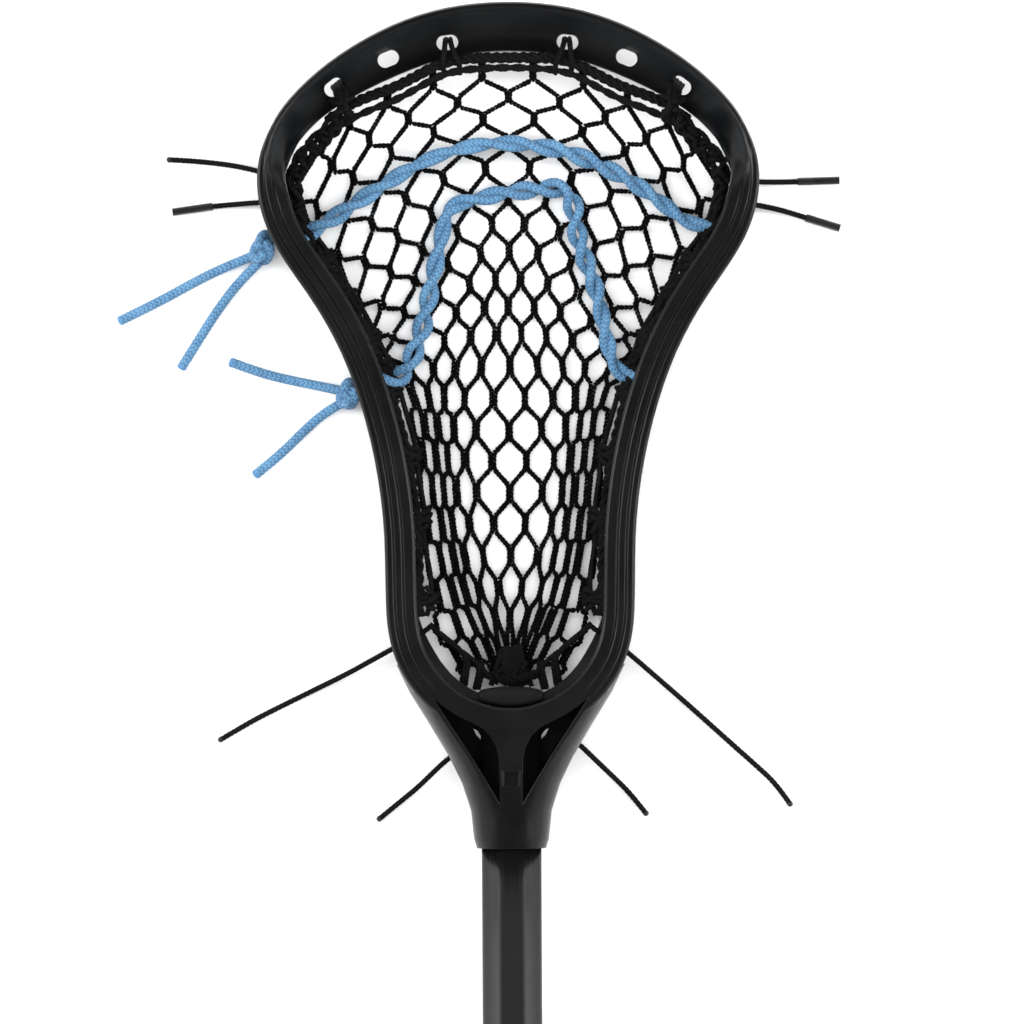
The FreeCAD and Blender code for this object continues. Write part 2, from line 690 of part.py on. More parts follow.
# label, the end of its lace, its own far end
AGLETS = [
    ("aglet_left_low", LEFT_LOW[-1], (-125.9, 237.8, 1.6)),
    ("aglet_right_high", RIGHT_HIGH[-1], (124.2, 248.4, 1.6)),
    ("aglet_right_low", RIGHT_LOW[-1], (124.3, 230.5, 1.6)),
]
# label, centre, half sizes, turn in plan
KNOTS = [
    ("shooting_knot_upper", (-90.4, 222.8, 6.9), (6.4, 4.0, 6.0), 75),
    ("shooting_knot_lower", (-59.4, 168.2, 6.0), (5.8, 3.2, 5.2), 80),
]


def make_aglet(label, start, end):
    """A hard sleeve on the end of a lace."""
    start = Vector(*start)
    run = Vector(*end) - start
    aglet = doc.addObject("Part::Cylinder", label)
    aglet.setExpression("Radius", "Sizes.aglet_diameter / 2")
    aglet.Height = run.Length
    place = FreeCAD.Placement(start, Rotation(Vector(0, 0, 1), run))
    return keep(aglet, label, HEAD_PLACE.multiply(place))


def make_knot(label, centre, halves, turn):
    """The outer shape of an overhand knot, as a rounded lump against the sidewall."""
    knot = doc.addObject("Part::Ellipsoid", label)
    knot.Radius2, knot.Radius3, knot.Radius1 = halves
    knot.Angle1 = -90
    knot.Angle2 = 90
    place = FreeCAD.Placement(Vector(*centre), Rotation(Vector(0, 0, 1), turn))
    return keep(knot, label, HEAD_PLACE.multiply(place))


# ---------------------------------------------------------------- soft sheets and pads

def make_net():
    """The net's sheet, as a thin closed bowl inside the frame."""
    thick = size("net_thickness")
    wires = []
    for along in (61.5, 70, 82, 100, 125, 150, 175, 200, 220, 238, 252, 265, 277, 285.5):
        reach = half_width(along, 14.6)
        reach = min(reach, 12 + 2.6 * (along - 61.5), 21 + 3.2 * (288.5 - along))
        upper = [Vector(x, along, net_z(x, along) + thick / 2) for x in (-reach, 0, reach)]
        lower = [Vector(x, along, net_z(x, along) - thick / 2) for x in (reach, 0, -reach)]
        edges = [Part.Arc(*upper).toShape(), Part.LineSegment(upper[2], lower[0]).toShape(),
                 Part.Arc(*lower).toShape(), Part.LineSegment(lower[2], upper[0]).toShape()]
        wires.append(Part.Wire(edges))
    return Part.makeLoft(wires, True, False)


def make_ball_stop():
    """The foam pad on the throat's end of the bowl."""
    body = new_body("ball_stop_pad")
    sketch = sketch_on(body, "XY_Plane", "pad_plan")
    half = size("pad_half_width")
    back = [Vector(-half, size("pad_side_back"), 0), Vector(0, size("pad_back"), 0),
            Vector(half, size("pad_side_back"), 0)]
    front = [Vector(half, size("pad_side_front"), 0), Vector(0, size("pad_front"), 0),
             Vector(-half, size("pad_side_front"), 0)]
    sketch.addGeometry(Part.Arc(*back), False)
    sketch.addGeometry(Part.LineSegment(back[2], front[0]), False)
    sketch.addGeometry(Part.Arc(*front), False)
    sketch.addGeometry(Part.LineSegment(front[2], back[0]), False)
    wide = "Sizes.pad_half_width"
    hold_point(sketch, 1, 1, wide, "Sizes.pad_side_back")
    hold_point(sketch, 1, 2, wide, "Sizes.pad_side_front")
    hold_point(sketch, 3, 1, "-" + wide, "Sizes.pad_side_front")
    hold_point(sketch, 3, 2, "-" + wide, "Sizes.pad_side_back")
    for arc, formula in ((0, "Sizes.pad_back_radius"), (2, "Sizes.pad_front_radius")):
        radius = sketch.Geometry[arc].Radius
        index = sketch.addConstraint(Sketcher.Constraint("Radius", arc, radius))
        sketch.setExpression(f"Constraints[{index}]", formula)
    for line, arc, near in ((1, 0, 1), (1, 2, 2), (3, 2, 1), (3, 0, 2)):
        line_end = sketch.getPoint(line, near)
        far = 1 if sketch.getPoint(arc, 1).distanceToPoint(line_end) < 0.01 else 2
        sketch.addConstraint(Sketcher.Constraint("Coincident", line, near, arc, far))
    pad = body.newObject("PartDesign::Pad", "pad_foam")
    pad.Profile = sketch
    pad.setExpression("Length", "Sizes.pad_height")
    doc.recompute()
    body.Placement = HEAD_PLACE.multiply(FreeCAD.Placement(Vector(0, 0, size("pad_low")), Rotation()))
    return body


# ---------------------------------------------------------------- build everything

keep(make_shaft(), "shaft")
keep(make_cap(), "butt_cap")
keep(make_screw(), "head_screw", FreeCAD.Placement(screw_place() + Vector(0, MOUTH_Y, 0), Rotation()))
keep_shape("head", make_head())
keep(make_ball_stop(), "ball_stop_pad")
keep_shape("mesh_pocket", make_net())

side_route = beside_wall(SIDE_STRING_STOPS, 10.6, 5.4)
side_string = cord_tube("sidewall_string", side_route, size("side_string_diameter"))
keep_shape("sidewall_string_right", side_string)
keep_shape("sidewall_string_left", mirrored(side_string))
keep_shape("top_string", cord_tube("top_string", laid_on_net(TOP_STRING_ROUTE, 1.5),
                                   size("top_string_diameter")))
keep_shape("bottom_string", cord_tube("bottom_string", laid_on_net(BOTTOM_STRING_ROUTE, 2.5),
                                      size("lace_diameter")))
keep_shape("shooting_string_upper", cord_tube("shooting_upper", laid_on_net(UPPER_ARCH, 4.6),
                                              size("shooting_pair_diameter")))
keep_shape("shooting_string_lower", cord_tube("shooting_lower", laid_on_net(LOWER_ARCH, 4.6),
                                              size("shooting_pair_diameter")))
for label, route, diameter in TAILS:
    keep_shape(label, cord_tube(label, route, size(diameter)))
for label, start, end in AGLETS:
    make_aglet(label, start, end)
for label, centre, halves, turn in KNOTS:
    make_knot(label, centre, halves, turn)

doc.recompute()
for obj in doc.Objects:
    if "Invalid" in obj.State or "Error" in obj.State:
        raise RuntimeError(obj.Label + " did not recompute")
for obj in subparts:
    if obj.Shape.isNull() or not obj.Shape.isValid() or not obj.Shape.Solids:
        raise RuntimeError(obj.Label + " has no valid solid")
    obj.Shape.exportStep(f"parts/{obj.Label}.step")
    box = obj.Shape.BoundBox
    print(f"{obj.Label}: {len(obj.Shape.Solids)} solid, x {box.XMin:.1f} {box.XMax:.1f}, "
          f"y {box.YMin:.1f} {box.YMax:.1f}, z {box.ZMin:.2f} {box.ZMax:.2f}")
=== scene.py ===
import math
import random

import bmesh
import bpy
import numpy as np
from mathutils import Matrix, Vector


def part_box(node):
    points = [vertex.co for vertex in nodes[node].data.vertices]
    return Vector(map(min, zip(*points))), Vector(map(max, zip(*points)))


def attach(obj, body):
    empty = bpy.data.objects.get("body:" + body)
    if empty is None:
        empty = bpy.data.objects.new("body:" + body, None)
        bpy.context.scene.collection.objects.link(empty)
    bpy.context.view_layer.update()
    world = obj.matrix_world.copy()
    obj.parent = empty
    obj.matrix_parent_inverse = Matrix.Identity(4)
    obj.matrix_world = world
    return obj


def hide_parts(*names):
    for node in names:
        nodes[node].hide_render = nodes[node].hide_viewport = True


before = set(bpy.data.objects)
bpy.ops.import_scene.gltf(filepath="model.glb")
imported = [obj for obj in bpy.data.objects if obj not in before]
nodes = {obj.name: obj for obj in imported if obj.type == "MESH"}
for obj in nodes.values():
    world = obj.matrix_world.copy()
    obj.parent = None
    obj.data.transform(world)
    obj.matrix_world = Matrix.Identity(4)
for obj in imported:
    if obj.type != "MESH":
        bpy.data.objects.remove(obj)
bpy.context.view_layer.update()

# A lacrosse stick lying face up. Metres; +X to its right, +Y towards the scoop, +Z out of its face.
# Places on the head are given in millimetres from the middle of the throat's mouth.

MM = 0.001
MOUTH_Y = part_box("head")[0][1]


def on_head(x, along, z):
    """A place on the head, in metres in the stick's own frame."""
    return Vector((x * MM, MOUTH_Y + along * MM, z * MM))


def smooth(amount):
    """0 below 0, 1 above 1, with an even ramp between."""
    amount = np.clip(amount, 0.0, 1.0)
    return amount * amount * (3 - 2 * amount)


# ---------------------------------------------------------------- camera

VIEW_WIDTH = 378.9
VIEW_MIDDLE = (0.8, 124.7)
VIEW_LENS = 300.0
VIEW_SENSOR = 36.0
RAIL_HEIGHT = 44.0
VIEW_ROLL = -0.3

camera_data = bpy.data.cameras.new("camera")
camera_data.lens = VIEW_LENS
camera_data.sensor_width = VIEW_SENSOR
camera = bpy.data.objects.new("camera", camera_data)
bpy.context.scene.collection.objects.link(camera)
camera.location = on_head(*VIEW_MIDDLE, RAIL_HEIGHT + VIEW_WIDTH * VIEW_LENS / VIEW_SENSOR)
camera.rotation_euler = (0, 0, math.radians(VIEW_ROLL))
bpy.context.scene.camera = camera


# ---------------------------------------------------------------- the head's lines, as the frame was drawn

BOWL_HALF_WIDTH = 34.5
BOWL_HALF_LENGTH = 36.0
BOWL_END = 52.2
RAIL_WIDTH = 11.4
FLANK = [(46.5, 115), (49.2, 140), (54.5, 163), (62.6, 185), (74.6, 206), (87, 225), (93, 248)]
SCOOP = [(88.4, 267), (75, 284.5), (55, 299.3), (29, 310.4), (0, 314)]


def outline_points():
    """Outer edge of the bowl's right half in plan, from the throat's centre line to the scoop's."""
    points = []
    for degrees in (0, 20, 40, 60, 75, 90):
        angle = math.radians(degrees)
        across = BOWL_HALF_WIDTH * math.sin(angle)
        along = BOWL_END + BOWL_HALF_LENGTH * (1 - math.cos(angle))
        out = Vector((math.sin(angle) / BOWL_HALF_WIDTH, -math.cos(angle) / BOWL_HALF_LENGTH)).normalized()
        points.append(Vector((across, along)) + out * RAIL_WIDTH)
    return points + [Vector(point) for point in FLANK + SCOOP]


def rounded_line(points, steps):
    """A smooth curve through the points, with the same number of steps between each pair."""
    points = np.array([tuple(point) for point in points])
    before = np.vstack([2 * points[0] - points[1], points[:-1]])
    after = np.vstack([points[1:], 2 * points[-1] - points[-2]])
    slopes = (after - before) / 2
    share = np.linspace(0, 1, steps, endpoint=False)[:, None]
    pieces = []
    for index in range(len(points) - 1):
        start, end = points[index], points[index + 1]
        leaving, arriving = slopes[index], slopes[index + 1]
        pieces.append((2 * share ** 3 - 3 * share ** 2 + 1) * start
                      + (share ** 3 - 2 * share ** 2 + share) * leaving
                      + (3 * share ** 2 - 2 * share ** 3) * end
                      + (share ** 3 - share ** 2) * arriving)
    return np.vstack(pieces + [points[-1:]])


OUTLINE = rounded_line(outline_points(), 24)
# The outline widens along the stick only up to here, where the scoop begins to close it.
FLANK_END = 250
# How far in from the outline the net's edge lies.
NET_INSET = 13.0


def inset_line(inward):
    """The outline moved into the bowl."""
    slope = np.gradient(OUTLINE, axis=0)
    slope /= np.linalg.norm(slope, axis=1)[:, None]
    inside = np.stack([-slope[:, 1], slope[:, 0]], axis=1)
    return OUTLINE + inside * inward


def half_width(along, inward):
    """Half the bowl's width at a place along the stick, for a line set in from the outline."""
    line = inset_line(inward)
    keep = line[:, 1] <= FLANK_END
    return float(np.interp(along, line[keep, 1], line[keep, 0]))


def foot_z(along):
    """Height of the bottom rail's underside."""
    return 8 * (1 - smooth((along - 41) / 70)) + 16 * smooth((along - 225) / 90)


def net_z(across, along):
    """Height of the net: laced to the bottom rail, sagging towards the centre line."""
    middle = 2.4 + 9.0 * (1 - smooth((along - 58) / 62)) + 18.0 * smooth((along - 232) / 62)
    rise = 3.6 * smooth((along - 40) / 70) * (1 - smooth((along - 235) / 75))
    edge = max(half_width(min(along, FLANK_END - 2.0), NET_INSET), 1.0)
    return float(middle + rise * min(1.0, abs(across) / edge) ** 2)


# ---------------------------------------------------------------- shading helpers

def new_material(name, colour, roughness, **sockets):
    """A principled material whose even values sit on the shader's own sockets."""
    material = bpy.data.materials.new(name)
    material.use_nodes = True
    shader = material.node_tree.nodes["Principled BSDF"]
    shader.inputs["Base Color"].default_value = (*colour, 1)
    shader.inputs["Roughness"].default_value = roughness
    for socket, value in sockets.items():
        shader.inputs[socket.replace("_", " ")].default_value = value
    return material


def add_node(material, kind, links=None, **values):
    """A node with its input values and links set by input name or index."""
    node = material.node_tree.nodes.new(kind)
    for key, value in values.items():
        if hasattr(node, key):
            setattr(node, key, value)
        else:
            node.inputs[key.replace("_", " ")].default_value = value
    for key, output in (links or {}).items():
        material.node_tree.links.new(output, node.inputs[key])
    return node


def shader_of(material):
    return material.node_tree.nodes["Principled BSDF"]


def link(material, output, socket):
    material.node_tree.links.new(output, shader_of(material).inputs[socket])


def ramp(material, source, stops):
    """A colour ramp over a 0 to 1 value."""
    node = add_node(material, "ShaderNodeValToRGB", {"Fac": source})
    elements = node.color_ramp.elements
    while len(elements) < len(stops):
        elements.new(0.5)
    for element, (place, colour) in zip(elements, stops):
        element.position = place
        element.color = (*colour, 1) if len(colour) == 3 else (*colour * 3, 1)
    return node.outputs["Color"]


def moulded_nylon():
    """Satin black nylon: a fine spark-eroded grain, faint flow marks and softened edges."""
    material = new_material("moulded_nylon", (0.003, 0.0031, 0.0033), 0.34, IOR=1.5,
                            Specular_IOR_Level=0.32)
    place = add_node(material, "ShaderNodeTexCoord").outputs["Object"]
    flow = add_node(material, "ShaderNodeTexNoise", {"Vector": place}, Scale=35.0, Detail=4.0)
    grain = add_node(material, "ShaderNodeTexNoise", {"Vector": place}, Scale=2600.0, Detail=2.0)
    link(material, ramp(material, flow.outputs["Fac"], [(0.3, (0.28,)), (0.75, (0.38,))]), "Roughness")
    tint = ramp(material, flow.outputs["Fac"],
                [(0.3, (0.0022, 0.0023, 0.0025)), (0.8, (0.004, 0.0042, 0.0045))])
    link(material, tint, "Base Color")
    soft = add_node(material, "ShaderNodeBevel", Radius=0.6 * MM)
    soft.samples = 6
    bump = add_node(material, "ShaderNodeBump",
                    {"Height": grain.outputs["Fac"], "Normal": soft.outputs["Normal"]},
                    Strength=0.12, Distance=0.0002)
    link(material, bump.outputs["Normal"], "Normal")
    return material


def anodised_shaft():
    """Black anodised tube: a lengthwise grain and a slightly uneven sheen."""
    material = new_material("anodised_shaft", (0.004, 0.0041, 0.0044), 0.26, Specular_IOR_Level=0.32)
    place = add_node(material, "ShaderNodeTexCoord").outputs["Object"]
    stretch = add_node(material, "ShaderNodeMapping", {"Vector": place})
    stretch.inputs["Scale"].default_value = (9000, 80, 9000)
    grain = add_node(material, "ShaderNodeTexNoise", {"Vector": stretch.outputs["Vector"]},
                     Scale=1.0, Detail=3.0)
    link(material, ramp(material, grain.outputs["Fac"], [(0.25, (0.255,)), (0.8, (0.285,))]), "Roughness")
    bump = add_node(material, "ShaderNodeBump", {"Height": grain.outputs["Fac"]},
                    Strength=0.015, Distance=0.00004)
    link(material, bump.outputs["Normal"], "Normal")
    return material


def speckled(name, colour, roughness, scale, depth, light, shine=0.5):
    """A matt material with a fine pebbled surface, such as rubber or foam."""
    material = new_material(name, colour, roughness, Specular_IOR_Level=shine)
    place = add_node(material, "ShaderNodeTexCoord").outputs["Object"]
    cells = add_node(material, "ShaderNodeTexVoronoi", {"Vector": place}, Scale=scale)
    cloud = add_node(material, "ShaderNodeTexNoise", {"Vector": place}, Scale=scale * 0.12, Detail=3.0)
    bright = tuple(part * light for part in colour)
    link(material, ramp(material, cloud.outputs["Fac"], [(0.3, colour), (0.75, bright)]), "Base Color")
    bump = add_node(material, "ShaderNodeBump", {"Height": cells.outputs["Distance"]},
                    Strength=0.35, Distance=depth)
    link(material, bump.outputs["Normal"], "Normal")
    return material


def yarn(name, gap_shade, light, roughness, sheen, shine):
    """Knitted or braided cord: fine fibres along the yarns, with painted shade in the gaps between them, and
    a soft sheen.
    """
    material = new_material(name, light, roughness, Sheen_Weight=sheen, Sheen_Roughness=0.5,
                            Specular_IOR_Level=shine)
    place = add_node(material, "ShaderNodeTexCoord").outputs["Object"]
    fibre = add_node(material, "ShaderNodeTexNoise", {"Vector": place}, Scale=2200.0, Detail=3.0)
    cloud = add_node(material, "ShaderNodeTexNoise", {"Vector": place}, Scale=240.0, Detail=2.0)
    height = add_node(material, "ShaderNodeAttribute", attribute_name="relief")
    fine = add_node(material, "ShaderNodeMath", {0: fibre.outputs["Fac"], 1: cloud.outputs["Fac"]},
                    operation="MULTIPLY")
    deep = add_node(material, "ShaderNodeMath", {0: height.outputs["Fac"], 2: fine.outputs["Value"]},
                    operation="MULTIPLY_ADD")
    deep.inputs[1].default_value = 0.75
    # Painted shade: the braid's low places between the yarns are coloured towards the first, darker colour.
    link(material, ramp(material, deep.outputs["Value"], [(0.3, gap_shade), (0.95, light)]), "Base Color")
    bump = add_node(material, "ShaderNodeBump", {"Height": fibre.outputs["Fac"]},
                    Strength=0.5, Distance=0.00012)
    link(material, bump.outputs["Normal"], "Normal")
    return material


nylon = moulded_nylon()
shaft_finish = anodised_shaft()
cap_rubber = speckled("cap_rubber", (0.008, 0.008, 0.008), 0.7, 900.0, 0.0003, 1.6)
pad_foam = speckled("pad_foam", (0.003, 0.003, 0.0033), 0.55, 1500.0, 0.0002, 1.7, shine=0.16)
screw_steel = speckled("screw_steel", (0.10, 0.10, 0.11), 0.35, 2500.0, 0.00005, 1.3)
# Each yarn's first colour is painted shade for its braid's gaps; the second is the yarn's own colour.
net_yarn = yarn("net_yarn", (0.0012, 0.0011, 0.001), (0.0062, 0.0058, 0.0052), 0.85, 0.0, 0.12)
lace_yarn = yarn("lace_yarn", (0.0012, 0.0012, 0.0012), (0.0065, 0.0065, 0.0067), 0.85, 0.0, 0.12)
blue_yarn = yarn("blue_yarn", (0.010, 0.040, 0.115), (0.122, 0.278, 0.452), 0.7, 0.08, 0.3)
tip_plastic = speckled("tip_plastic", (0.010, 0.010, 0.011), 0.2, 1200.0, 0.00004, 1.8)
blue_tip = speckled("blue_tip", (0.065, 0.18, 0.36), 0.38, 1400.0, 0.00008, 1.3)


# ---------------------------------------------------------------- mesh helpers

def finished(name, verts, faces, material, relief=None):
    """A plain mesh piece at the origin, shaded smoothly."""
    mesh = bpy.data.meshes.new(name)
    mesh.from_pydata([tuple(vert) for vert in verts], [], faces)
    mesh.materials.append(material)
    mesh.polygons.foreach_set("use_smooth", [True] * len(mesh.polygons))
    if relief is not None:
        attribute = mesh.attributes.new("relief", "FLOAT", "POINT")
        attribute.data.foreach_set("value", relief)
    mesh.update()
    piece = bpy.data.objects.new(name, mesh)
    bpy.context.scene.collection.objects.link(piece)
    return piece


def merged(name, pieces):
    """Several pieces joined into one mesh piece."""
    bpy.ops.object.select_all(action="DESELECT")
    for piece in pieces:
        piece.select_set(True)
    bpy.context.view_layer.objects.active = pieces[0]
    bpy.ops.object.join()
    pieces[0].name = name
    pieces[0].data.name = name
    return pieces[0]


def spline_path(points, step):
    """Evenly spaced points along the smooth line that a route's points control."""
    curve = bpy.data.curves.new("route", "CURVE")
    curve.dimensions = "3D"
    curve.resolution_u = 24
    spline = curve.splines.new("NURBS")
    spline.points.add(len(points) - 1)
    for control, point in zip(spline.points, points):
        control.co = (*point, 1)
    spline.order_u = 3
    spline.use_endpoint_u = True
    carrier = bpy.data.objects.new("route", curve)
    bpy.context.scene.collection.objects.link(carrier)
    line = bpy.data.meshes.new_from_object(carrier)
    read = np.array([tuple(vert.co) for vert in line.vertices])
    bpy.data.objects.remove(carrier)
    bpy.data.curves.remove(curve)
    bpy.data.meshes.remove(line)
    return even_points(read, step)


def even_points(points, step):
    """The same line with points at equal steps."""
    runs = np.linalg.norm(np.diff(points, axis=0), axis=1)
    length = np.concatenate([[0], np.cumsum(runs)])
    count = max(3, int(round(length[-1] / step)) + 1)
    places = np.linspace(0, length[-1], count)
    return np.stack([np.interp(places, length, points[:, axis]) for axis in range(3)], axis=1)


def carried_axes(path):
    """Two directions across the path at each point, carried along it without twisting."""
    tangent = np.gradient(path, axis=0)
    tangent /= np.linalg.norm(tangent, axis=1)[:, None]
    side = np.zeros_like(path)
    first = np.cross(tangent[0], (0, 0, 1.0))
    side[0] = first / np.linalg.norm(first)
    for index in range(1, len(path)):
        moved = side[index - 1] - tangent[index] * np.dot(side[index - 1], tangent[index])
        side[index] = moved / np.linalg.norm(moved)
    return side, np.cross(tangent, side)


def braid_tube(name, path, radius, material, yarns, pitch, relief, around):
    """A braided cord along a path: two sets of yarns that cross over and under each other."""
    side, up = carried_axes(path)
    runs = np.linalg.norm(np.diff(path, axis=0), axis=1)
    length = np.concatenate([[0], np.cumsum(runs)])
    angle = np.linspace(0, 2 * np.pi, around, endpoint=False)
    turn = yarns * angle[None, :] / (2 * np.pi)
    move = length[:, None] / pitch
    right = np.abs(np.cos(np.pi * (turn + move)))
    left = np.abs(np.cos(np.pi * (turn - move)))
    over = 0.5 + 0.5 * np.sin(2 * np.pi * turn)
    height = np.maximum(right * (0.55 + 0.45 * over), left * (1.0 - 0.45 * over))
    reach = radius * (1 - relief + relief * height)
    rings = (path[:, None, :] + side[:, None, :] * (np.cos(angle)[None, :] * reach)[:, :, None]
             + up[:, None, :] * (np.sin(angle)[None, :] * reach)[:, :, None])
    verts = rings.reshape(-1, 3)
    count = len(path)
    faces = []
    for ring in range(count - 1):
        base = ring * around
        for spoke in range(around):
            following = (spoke + 1) % around
            faces.append((base + spoke, base + following,
                          base + around + following, base + around + spoke))
    last = (count - 1) * around
    faces.append(tuple(range(around))[::-1])
    faces.append(tuple(range(last, last + around)))
    # The braid's height goes onto the mesh, where the yarn's finish uses it to paint shade into the gaps.
    piece = finished(name, verts, faces, material, relief=height.reshape(-1))
    flip_outwards(piece)
    return piece


def flip_outwards(piece):
    """Make every face point out of its closed shell."""
    work = bmesh.new()
    work.from_mesh(piece.data)
    bmesh.ops.recalc_face_normals(work, faces=work.faces)
    work.to_mesh(piece.data)
    work.free()


def blob(name, centre, radii, material, direction, lump, seed):
    """A rounded lump, a little uneven, such as a melted cord end."""
    work = bmesh.new()
    bmesh.ops.create_uvsphere(work, u_segments=20, v_segments=12, radius=1.0)
    rng = random.Random(seed)
    turn = Vector(direction).to_track_quat("Z", "Y").to_matrix()
    for vert in work.verts:
        uneven = 1 + lump * (rng.random() - 0.5)
        shaped = Vector([part * radius * uneven for part, radius in zip(vert.co, radii)])
        vert.co = Vector(centre) + turn @ shaped
    mesh = bpy.data.meshes.new(name)
    work.to_mesh(mesh)
    work.free()
    mesh.materials.append(material)
    mesh.polygons.foreach_set("use_smooth", [True] * len(mesh.polygons))
    piece = bpy.data.objects.new(name, mesh)
    bpy.context.scene.collection.objects.link(piece)
    return piece


# ---------------------------------------------------------------- free cords

LACE = 2.2
SHOOTING = 3.7
# Each braid's yarns, crossing pitch, depth of relief, points round it and step along it.
LACE_BRAID = (3, 1.7 * MM, 0.24, 16, 0.36 * MM)
SHOOTING_BRAID = (6, 1.75 * MM, 0.15, 40, 0.28 * MM)
# Node, route on the head, diameter, length, and the hard tip on its end if it has one.
TAILS = [
    ("tail_left_high", [(-91.6, 252.2, 8.2), (-100, 254.5, 6.4), (-109.5, 256, 2.7), (-118.6, 257, 1.3),
                        (-127.6, 257.5, 1.2)], LACE, 36.8, None),
    ("tail_left_low", [(-92.0, 241.1, 6.6), (-97.6, 240.8, 5.3), (-104.4, 240.4, 2.5), (-110.8, 239.9, 1.6),
                       (-125.4, 237.9, 1.6)], LACE, 34.5, "aglet_left_low"),
    ("tail_right_high", [(92.0, 247.8, 7.4), (97.0, 247.7, 6.2), (103.0, 247.8, 3.1), (108.6, 248.0, 1.6),
                         (123.7, 248.4, 1.6)], LACE, 32.8, "aglet_right_high"),
    ("tail_right_low", [(91.8, 239.3, 6.4), (97.6, 238.4, 4.9), (104.8, 236.6, 2.3), (111.6, 234.5, 1.6),
                        (123.8, 230.6, 1.6)], LACE, 33.8, "aglet_right_low"),
    ("tail_base_left_high", [(-43.0, 74.4, 9.4), (-51.0, 70.0, 8.2), (-61.0, 64.5, 4.2), (-72.5, 58.9, 1.4),
                             (-86.0, 52.4, 1.2), (-98.0, 46.4, 1.2), (-109.4, 39.6, 1.2)], LACE, 76.0, None),
    ("tail_base_right_high", [(43.0, 72.6, 9.4), (50.0, 66.6, 8.2), (59.0, 58.7, 4.2), (69.5, 49.4, 1.4),
                              (81.0, 38.9, 1.2), (91.4, 29.6, 1.2), (99.6, 22.0, 1.2), (104.8, 14.2, 1.2)],
     LACE, 86.2, None),
    ("tail_base_left_low", [(-17.6, 37.2, 9.2), (-24.0, 32.2, 8.8), (-29.0, 27.6, 7.6), (-35.2, 21.5, 4.4),
                            (-42.3, 15.8, 1.5), (-50, 9.5, 1.2)], LACE, 42.5, None),
    ("tail_base_right_low", [(19.2, 42.6, 8.6), (25.6, 37.6, 8.2), (31.3, 32, 7.2), (38, 25.5, 4.4),
                             (44.6, 19, 1.5), (50.8, 11, 1.2)], LACE, 44.7, None),
    ("shooting_tail_upper_a", [(-95.5, 221.2, 4.8), (-104.5, 217.8, 2.9), (-116, 212.5, 1.95),
                               (-131, 204.2, 1.9), (-146, 197, 1.9)], SHOOTING, 55.1, None),
    ("shooting_tail_upper_b", [(-93.6, 218.6, 4.8), (-101.4, 211.2, 2.8), (-109.3, 200.8, 1.95),
                               (-116.2, 190, 1.9), (-123, 179.2, 1.9)], SHOOTING, 48.6, None),
    ("shooting_tail_lower_a", [(-63, 170.5, 4.2), (-71.8, 172.4, 2.6), (-82, 174.5, 1.95),
                               (-93.5, 177.3, 1.9), (-104.5, 181.5, 1.9)], SHOOTING, 42.0, None),
    ("shooting_tail_lower_b", [(-62.5, 166, 4.0), (-69, 162.5, 2.5), (-76.8, 155.8, 1.95),
                               (-86, 146.5, 1.9), (-95.5, 139, 1.9)], SHOOTING, 42.2, None),
]


def lace_along(name, points, diameter, material):
    """A braided cord of this stick's own make, black and fine or blue and thick."""
    yarns, pitch, relief, around, step = SHOOTING_BRAID if diameter > LACE else LACE_BRAID
    path = even_points(points, step)
    return braid_tube(name, path, diameter / 2 * MM, material, yarns, pitch, relief, around)


def make_tails():
    """Every free end of lace and shooting string, with its tip."""
    for node, route, diameter, length, aglet in TAILS:
        blue = diameter == SHOOTING
        path = spline_path([on_head(*point) for point in route], 0.3 * MM)
        piece = lace_along(node + "_cord", path, diameter, blue_yarn if blue else lace_yarn)
        end = path[-1]
        heading = path[-1] - path[-8]
        heading /= np.linalg.norm(heading)
        if aglet:
            nodes[aglet].data.materials.clear()
            nodes[aglet].data.materials.append(tip_plastic)
        else:
            radius = diameter / 2 * MM
            tip = blob(node + "_tip", end - heading * 0.6 * MM, (radius * 1.04, radius * 1.04, 1.1 * MM),
                       blue_tip if blue else tip_plastic, heading, lump=0.12, seed=len(node))
            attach(tip, "root")
        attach(piece, "root")
        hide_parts(node)


make_tails()


# ---------------------------------------------------------------- the net

# Rows of cells are counted down from the scoop. At each key row: its place on the centre line, its bend
# towards the throat, and how far out the first five columns of cells lie.
KEY_ROWS = [
    (-1, 287.0, 0.0050, (19.0, 37.0, 52.5, 66.5, 80.0)),
    (1, 272.0, 0.0064, (19.0, 36.5, 51.0, 65.0, 78.5)),
    (3, 254.0, 0.0080, (16.5, 31.5, 45.0, 57.5, 70.0)),
    (5, 232.8, 0.0092, (12.2, 26.0, 38.5, 49.5, 62.0)),
    (7, 212.0, 0.0080, (9.3, 20.0, 32.0, 46.0, 57.0)),
    (9, 191.5, 0.0040, (9.3, 19.0, 29.0, 41.0, 50.0)),
    (11, 167.0, -0.0010, (11.8, 21.3, 27.8, 33.0, 38.5)),
    (13, 143.5, -0.0030, (12.8, 20.6, 25.4, 30.2, 35.0)),
    (15, 120.3, 0.0000, (11.8, 19.0, 23.6, 28.0, 33.0)),
    (17, 96.5, 0.0040, (8.6, 14.4, 19.0, 23.4, 30.5)),
    (19, 74.5, 0.0080, (3.2, 6.6, 10.2, 16.0, 25.0)),
    (21, 60.0, 0.0100, (1.0, 2.2, 3.6, 6.5, 13.0)),
]
LAST_ROW = 20
# Half the distance between two strings where they join.
JOIN_HALF_GAP = 0.52
STITCH_PITCH = 1.5 * MM
STITCH_SIZE_SPREAD = 0.08


def key_value(row, pick):
    return float(np.interp(row, [key[0] for key in KEY_ROWS], [pick(key) for key in KEY_ROWS]))


def net_limit(along):
    """How far out the net may reach at a place along the stick."""
    widest = half_width(min(along, FLANK_END), 13.2)
    return widest - max(0.0, along - FLANK_END)


